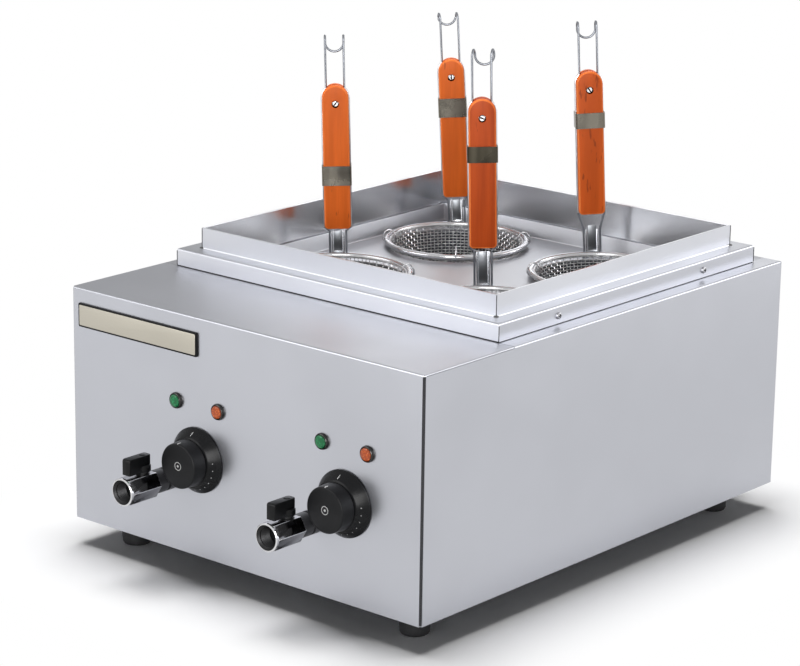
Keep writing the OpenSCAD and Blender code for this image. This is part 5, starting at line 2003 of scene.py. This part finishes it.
@dataclass
class Fittings:
    """Small pieces on the case: blank name plate, feet, rear screws and cable gland."""

    palette: Palette
    foot_r: float = 15.0

    def build(self) -> None:
        """Builds and dresses the small pieces."""
        self.name_plate()
        self.feet()
        self.rear_screws()
        self.gland()

    def name_plate(self) -> None:
        """Blank plate: a dark rim round a raised satin inlay."""
        low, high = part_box("name_plate")
        rim = Bench.cube("plate_rim", low, high)
        Bench.bevel(rim, lambda m, d: abs(d.y) > 0.9, MM * 1.6, 4)
        Bench.bevel(rim, lambda m, d: m.y < low.y + MM * 0.05, MM * 0.4, 2)
        Bench.paint(rim, self.palette.bezel)
        Bench.hand_over(rim, "case", "plate_metal", "name_plate")
        edge = MM * 1.7
        inlay = Bench.cube(
            "plate_inlay",
            low + Vector((edge, -MM * 0.5, edge)),
            Vector((high.x - edge, low.y + MM * 0.5, high.z - edge)),
        )
        Bench.bevel(inlay, lambda m, d: abs(d.y) > 0.9, MM * 1.0, 4)
        Bench.bevel(inlay, lambda m, d: m.y < low.y - MM * 0.4, MM * 0.35, 3)
        Bench.paint(inlay, self.palette.champagne)
        Bench.hand_over(inlay, "case", "plate_metal")

    def feet(self) -> None:
        """Four turned rubber feet."""
        low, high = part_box("rubber_feet")
        h = (high.z - low.z) / MM
        reach, r = MM * self.foot_r, self.foot_r
        outline = [(6.2, 0.0), (10.6, 0.0), (12.4, 0.6), (13.2, 2.0), (13.6, 6.0), (14.9, h - 3.0)]
        outline += [(r, h - 0.4), (14.6, h), (2.7, h), (2.7, h / 3), (6.2, h / 3)]
        made = [
            Bench.lathe("foot", outline, Z_AXIS, Vector((x, y, low.z)), 48, True)
            for x in (low.x + reach, high.x - reach)
            for y in (low.y + reach, high.y - reach)
        ]
        obj = Bench.join("turned_feet", made)
        Bench.paint(obj, self.palette.rubber)
        Bench.hand_over(obj, "case", "foot_rubber", "rubber_feet")

    def rear_screws(self) -> None:
        """Pan-head screws that hold the rear panel."""
        low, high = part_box("rear_screws")
        reach = MM * SCREW_HEAD
        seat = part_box("rear_panel")[1].y
        heights = np.linspace(low.z + reach, high.z - reach, 3)
        places = [(Vector((x, seat, z)), Y_AXIS) for x in (low.x + reach, high.x - reach) for z in heights]
        screw_heads("back_screws", places, self.palette, "rear_screws")

    def gland(self) -> None:
        """Cable gland with a hexagonal body and a ribbed cap."""
        low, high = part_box("cable_gland")
        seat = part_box("rear_panel")[1].y
        at = Vector(((low.x + high.x) / 2, seat, (low.z + high.z) / 2))
        flat = (high.z - low.z) / 2
        out = (high.y - seat) / MM
        inside = (low.y - seat) / MM
        obj = Bench.hexagon("gland_body", flat, [at, at + MM * 6.0 * Y_AXIS])
        Bench.bevel(obj, lambda m, d: True, MM * 0.5, 2)
        cap_r = flat / MM - 1.5
        cap = [(0.0, inside), (7.5, inside), (7.5, 0.0), (cap_r, 0.0), (cap_r, out - 5.0)]
        cap += [(cap_r - 1.5, out - 2.0), (6.8, out), (0.0, out)]
        Bench.carve(obj, Bench.lathe("cap", cap, Y_AXIS, at, 72), "UNION")
        ribs = 18
        for k in range(ribs):
            a = 2 * math.pi * k / ribs
            foot = at + MM * cap_r * Vector((math.cos(a), 0.0, math.sin(a)))
            ends = [foot + MM * 7.5 * Y_AXIS, foot + MM * (out - 5.0) * Y_AXIS]
            Bench.carve(obj, Bench.bar("groove", MM * 0.55, ends, 8))
        ends = [at + MM * (inside - 1.0) * Y_AXIS, at + MM * (out + 1.0) * Y_AXIS]
        Bench.carve(obj, Bench.bar("bore", MM * 5.0, ends, 40))
        nut_r = flat / math.cos(math.pi / 6)
        nut = Bench.bar("gland_nut", nut_r, [at - MM * 6.3 * Y_AXIS, at - MM * 1.3 * Y_AXIS], 6)
        Bench.carve(nut, Bench.bar("nut_bore", MM * 7.6, [at - MM * 8.0 * Y_AXIS, at], 40))
        obj = Bench.join("cable_gland_with_nut", [obj, nut])
        Bench.paint(obj, self.palette.gland)
        Bench.hand_over(obj, "case", "gland_plastic", "cable_gland")


def dress_frame_nodes(palette: Palette) -> None:
    """Gives the CAD nodes that stay in view their finishes.

    Args:
        palette: the finishes.
    """
    finishes = {
        "base_plate": palette.base,
        "tank": palette.tank,
        "foot_screws": palette.screw,
        "heating_elements": palette.element,
        "tank_fittings": palette.brass,
        "sensor_bulbs": palette.copper,
        "drain_pipes": palette.tank,
        "drain_lock_nuts": palette.nut,
        # Painted shade: the valve tails take the dark nut finish, standing in for the valve's dark reflection
        # in the front panel.
        "valve_tails": palette.nut,
        "thermostats": palette.ceramic,
        "bush_nuts": palette.screw,
        "terminal_block": palette.nylon,
    }
    for side in Side:
        finishes[f"{side}_valve_ball"] = palette.shaded_plating
        finishes[f"{side}_valve_stem"] = palette.brass
        finishes[f"{side}_thermostat_shaft"] = palette.screw
    for node, material in finishes.items():
        Bench.paint(frame["nodes"][node], material)
        LOG.info("%s keeps its CAD shape", node)


def ray_kinds(graph: Graph) -> tuple[Sock, Sock]:
    """Tells how a ray meets the background.

    Args:
        graph: the node tree that asks.

    Returns:
        1 for a camera ray, and 1 for a glossy or transmission ray.
    """
    path = graph.node("ShaderNodeLightPath")
    camera, glossy, passed = (graph.out(path, f"Is {k} Ray") for k in ("Camera", "Glossy", "Transmission"))
    return camera, glossy.math("MAXIMUM", glossy, passed)


@dataclass
class Studio:
    """Camera at the photograph's place, soft lamps, pale floor and world."""

    camera_at: Triple = (1.708, -2.0357, 0.9399)
    azimuth: float = 40.404
    elevation: float = 15.694
    roll: float = 0.815
    lens: float = 133.45
    fill: float = 0.11
    room: float = 0.9
    room_left: float = 0.5
    white_from: float = 0.02
    white_at: float = 0.15
    front: bpy.types.Object = field(init=False)

    def build(self) -> None:
        """Builds the camera, the floor, the lamps and the world."""
        bpy.context.scene.view_settings.view_transform = "Standard"
        self.camera()
        floor = self.floor()
        overhead = self.lamp("overhead", (-0.28, 0.12, 3.2), (0.0, 0.0, 0.0), 2.0, 114.0)
        # Level steel would mirror this lamp as plain white when seen from above.
        overhead.visible_glossy = False
        front_left = self.lamp("front_left", (-1.0, -1.95, 0.98), (0.0, 0.0, 0.26), 1.3, 14.5)
        back_right = self.lamp("back_right", (1.4, 1.75, 0.85), (0.0, 0.05, 0.26), 1.3, 13.5)
        self.front = self.lamp("front", (2.35, -3.4, 1.2), (0.0, 0.0, 0.4), 2.0, 118.0)
        back_left = self.lamp("back_left", (-0.6, 1.0, 0.9), (0.2, -0.25, 0.3), 0.8, 2.0)
        # The overhead lamp alone draws the shadow on the floor.
        for lamp in (front_left, back_right, self.front, back_left):
            self.flag_off(lamp, floor)
        self.world()

    def camera(self) -> None:
        """Adds the camera."""
        data = bpy.data.cameras.new("camera")
        data.lens = self.lens
        data.sensor_width = 36.0
        a, e = math.radians(self.azimuth), math.radians(self.elevation)
        ahead = Vector((-math.sin(a) * math.cos(e), math.cos(a) * math.cos(e), -math.sin(e)))
        obj = bpy.data.objects.new("camera", data)
        obj.location = self.camera_at
        obj.rotation_mode = "QUATERNION"
        obj.rotation_quaternion = ahead.to_track_quat("-Z", "Y") @ Quaternion(Z_AXIS, math.radians(self.roll))
        bpy.context.scene.collection.objects.link(obj)
        bpy.context.scene.camera = obj

    def lamp(self, name: str, at: Triple, aim: Triple, size: float, power: float) -> bpy.types.Object:
        """Adds a square soft lamp.

        Args:
            name: the lamp's name.
            at: its place.
            aim: the point that it faces.
            size: its side in metres.
            power: its power in watts.

        Returns:
            The lamp.
        """
        data = bpy.data.lights.new(name, "AREA")
        data.size = size
        data.energy = power
        obj = bpy.data.objects.new(name, data)
        obj.location = at
        obj.rotation_mode = "QUATERNION"
        obj.rotation_quaternion = (Vector(aim) - Vector(at)).to_track_quat("-Z", "Y")
        bpy.context.scene.collection.objects.link(obj)
        return obj

    def flag_off(self, lamp: bpy.types.Object, piece: bpy.types.Object) -> None:
        """Keeps a lamp off one piece.

        Args:
            lamp: the lamp.
            piece: the piece that it doesn't light.
        """
        flags = lamp.light_linking.receiver_collection or bpy.data.collections.new(f"{lamp.name}_flags")
        flags.objects.link(piece)
        flags.collection_objects[-1].light_linking.link_state = "EXCLUDE"
        lamp.light_linking.receiver_collection = flags

    def floor(self) -> bpy.types.Object:
        """Adds the pale floor, which keeps the object's shadow near the case and is white beyond.

        Returns:
            The floor.
        """
        bpy.ops.object.select_all(action="DESELECT")
        bpy.ops.mesh.primitive_plane_add(size=40.0)
        obj = Bench.settle("floor")
        sh = Shader("pale_floor")
        dust = sh.noise((3.0, 3.0, 3.0), 3.0)
        paper = sh.dress(
            Base_Color=sh.mix(dust, (0.94, 0.94, 0.945), (0.96, 0.96, 0.965)),
            Roughness=0.9,
            Specular_IOR_Level=0.0,
        )
        where = sh.out(sh.node("ShaderNodeTexCoord"), "Object")
        split = sh.node("ShaderNodeSeparateXYZ", None, {0: where})
        near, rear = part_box("front_cover")[0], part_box("rear_panel")[1]
        beyond = []
        for axis, low, high in (("X", near.x, rear.x), ("Y", near.y, rear.y)):
            off = sh.out(split, axis) - (low + high) / 2
            over = off.math("ABSOLUTE", off) - (high - low) / 2
            beyond.append(over.math("MAXIMUM", over, 0.0) ** 2.0)
        away = (beyond[0] + beyond[1]) ** 0.5
        white = sh.node("ShaderNodeEmission", None, {"Color": (1.0, 1.0, 1.0), "Strength": 1.0})
        camera, mirrored = ray_kinds(sh)
        far = away.step(self.white_from, self.white_at) * (camera + mirrored)
        mixed = sh.node("ShaderNodeMixShader", None, {0: far, 1: sh.out(sh.bsdf, "BSDF"), 2: sh.out(white)})
        sh.feed(sh.output.inputs["Surface"], sh.out(mixed))
        Bench.paint(obj, paper)
        return obj

    def world(self) -> None:
        """Adds a pale world, white to the camera, with less light to mirror at the back left."""
        world = bpy.data.worlds.new("studio")
        world.use_nodes = True
        bpy.context.scene.world = world
        g = Graph(world.node_tree)
        camera, mirrored = ray_kinds(g)
        way = g.out(g.node("ShaderNodeTexCoord"), "Generated")
        across = g.node("ShaderNodeVectorMath", {"operation": "DOT_PRODUCT"}, {0: way, 1: (-0.72, 0.69, 0.0)})
        left = g.out(across, "Value").step(0.3, 0.97)
        room = self.room - (self.room - self.room_left) * left
        strength = self.fill + (1.0 - self.fill) * camera + (room - self.fill) * mirrored
        back = g.node("ShaderNodeBackground", None, {"Color": (1.0, 1.0, 1.0), "Strength": strength})
        g.node("ShaderNodeOutputWorld", None, {"Surface": g.out(back)})


BASKETS = {
    "front_left": dict(
        turn=41.0, lean=1.6, rise=26.0, bracket_h=27.0, band_h=19.0, band_drop=78.0, skew=0.0, pin_sink=3.0,
    ),
    "rear_left": dict(
        turn=39.0, lean=3.3, rise=28.0, bracket_h=28.0, band_h=19.0, band_drop=39.0, skew=-2.3,
        loop_rise=44.5, loop_dip=12.0, pin_turn=90.0, pin_sink=3.2,
    ),
    "front_right": dict(
        turn=41.0, lean=1.6, rise=38.0, bracket_h=38.0, band_h=15.0, band_drop=44.0, skew=3.0,
        loop_rise=43.5, loop_dip=14.5, pin_turn=20.0, wood=Wood.DEEP, strip=Strip.DARK,
    ),
    "rear_right": dict(
        turn=45.0, lean=3.0, rise=40.0, bracket_h=28.0, band_h=15.0, band_drop=40.0, skew=0.0, tongue_up=4.0,
        pin_turn=55.0, wood=Wood.WORN,
    ),
}


def main() -> None:
    """Builds the cooker's looks piece by piece."""
    logging.basicConfig(level=logging.INFO, format="%(message)s")
    studio = Studio()
    studio.build()
    palette = Palette()
    dress_frame_nodes(palette)
    deck = Case(palette).build()
    Collar(palette).build()
    baskets = [Basket(palette, corner, **sizes) for corner, sizes in BASKETS.items()]
    tray = Tray(palette).build([basket.centre for basket in baskets])
    # Seen from behind, level sheet would mirror the front lamp as plain white.
    for level in (deck, tray):
        studio.flag_off(studio.front, level)
    for basket in baskets:
        basket.build()
    for side in Side:
        DrainValve(palette, side).build()
        Dial(palette, side).build()
    for colour in Tint:
        Lamps(palette, colour).build()
    Fittings(palette).build()


if __name__ == "__main__":
    main()
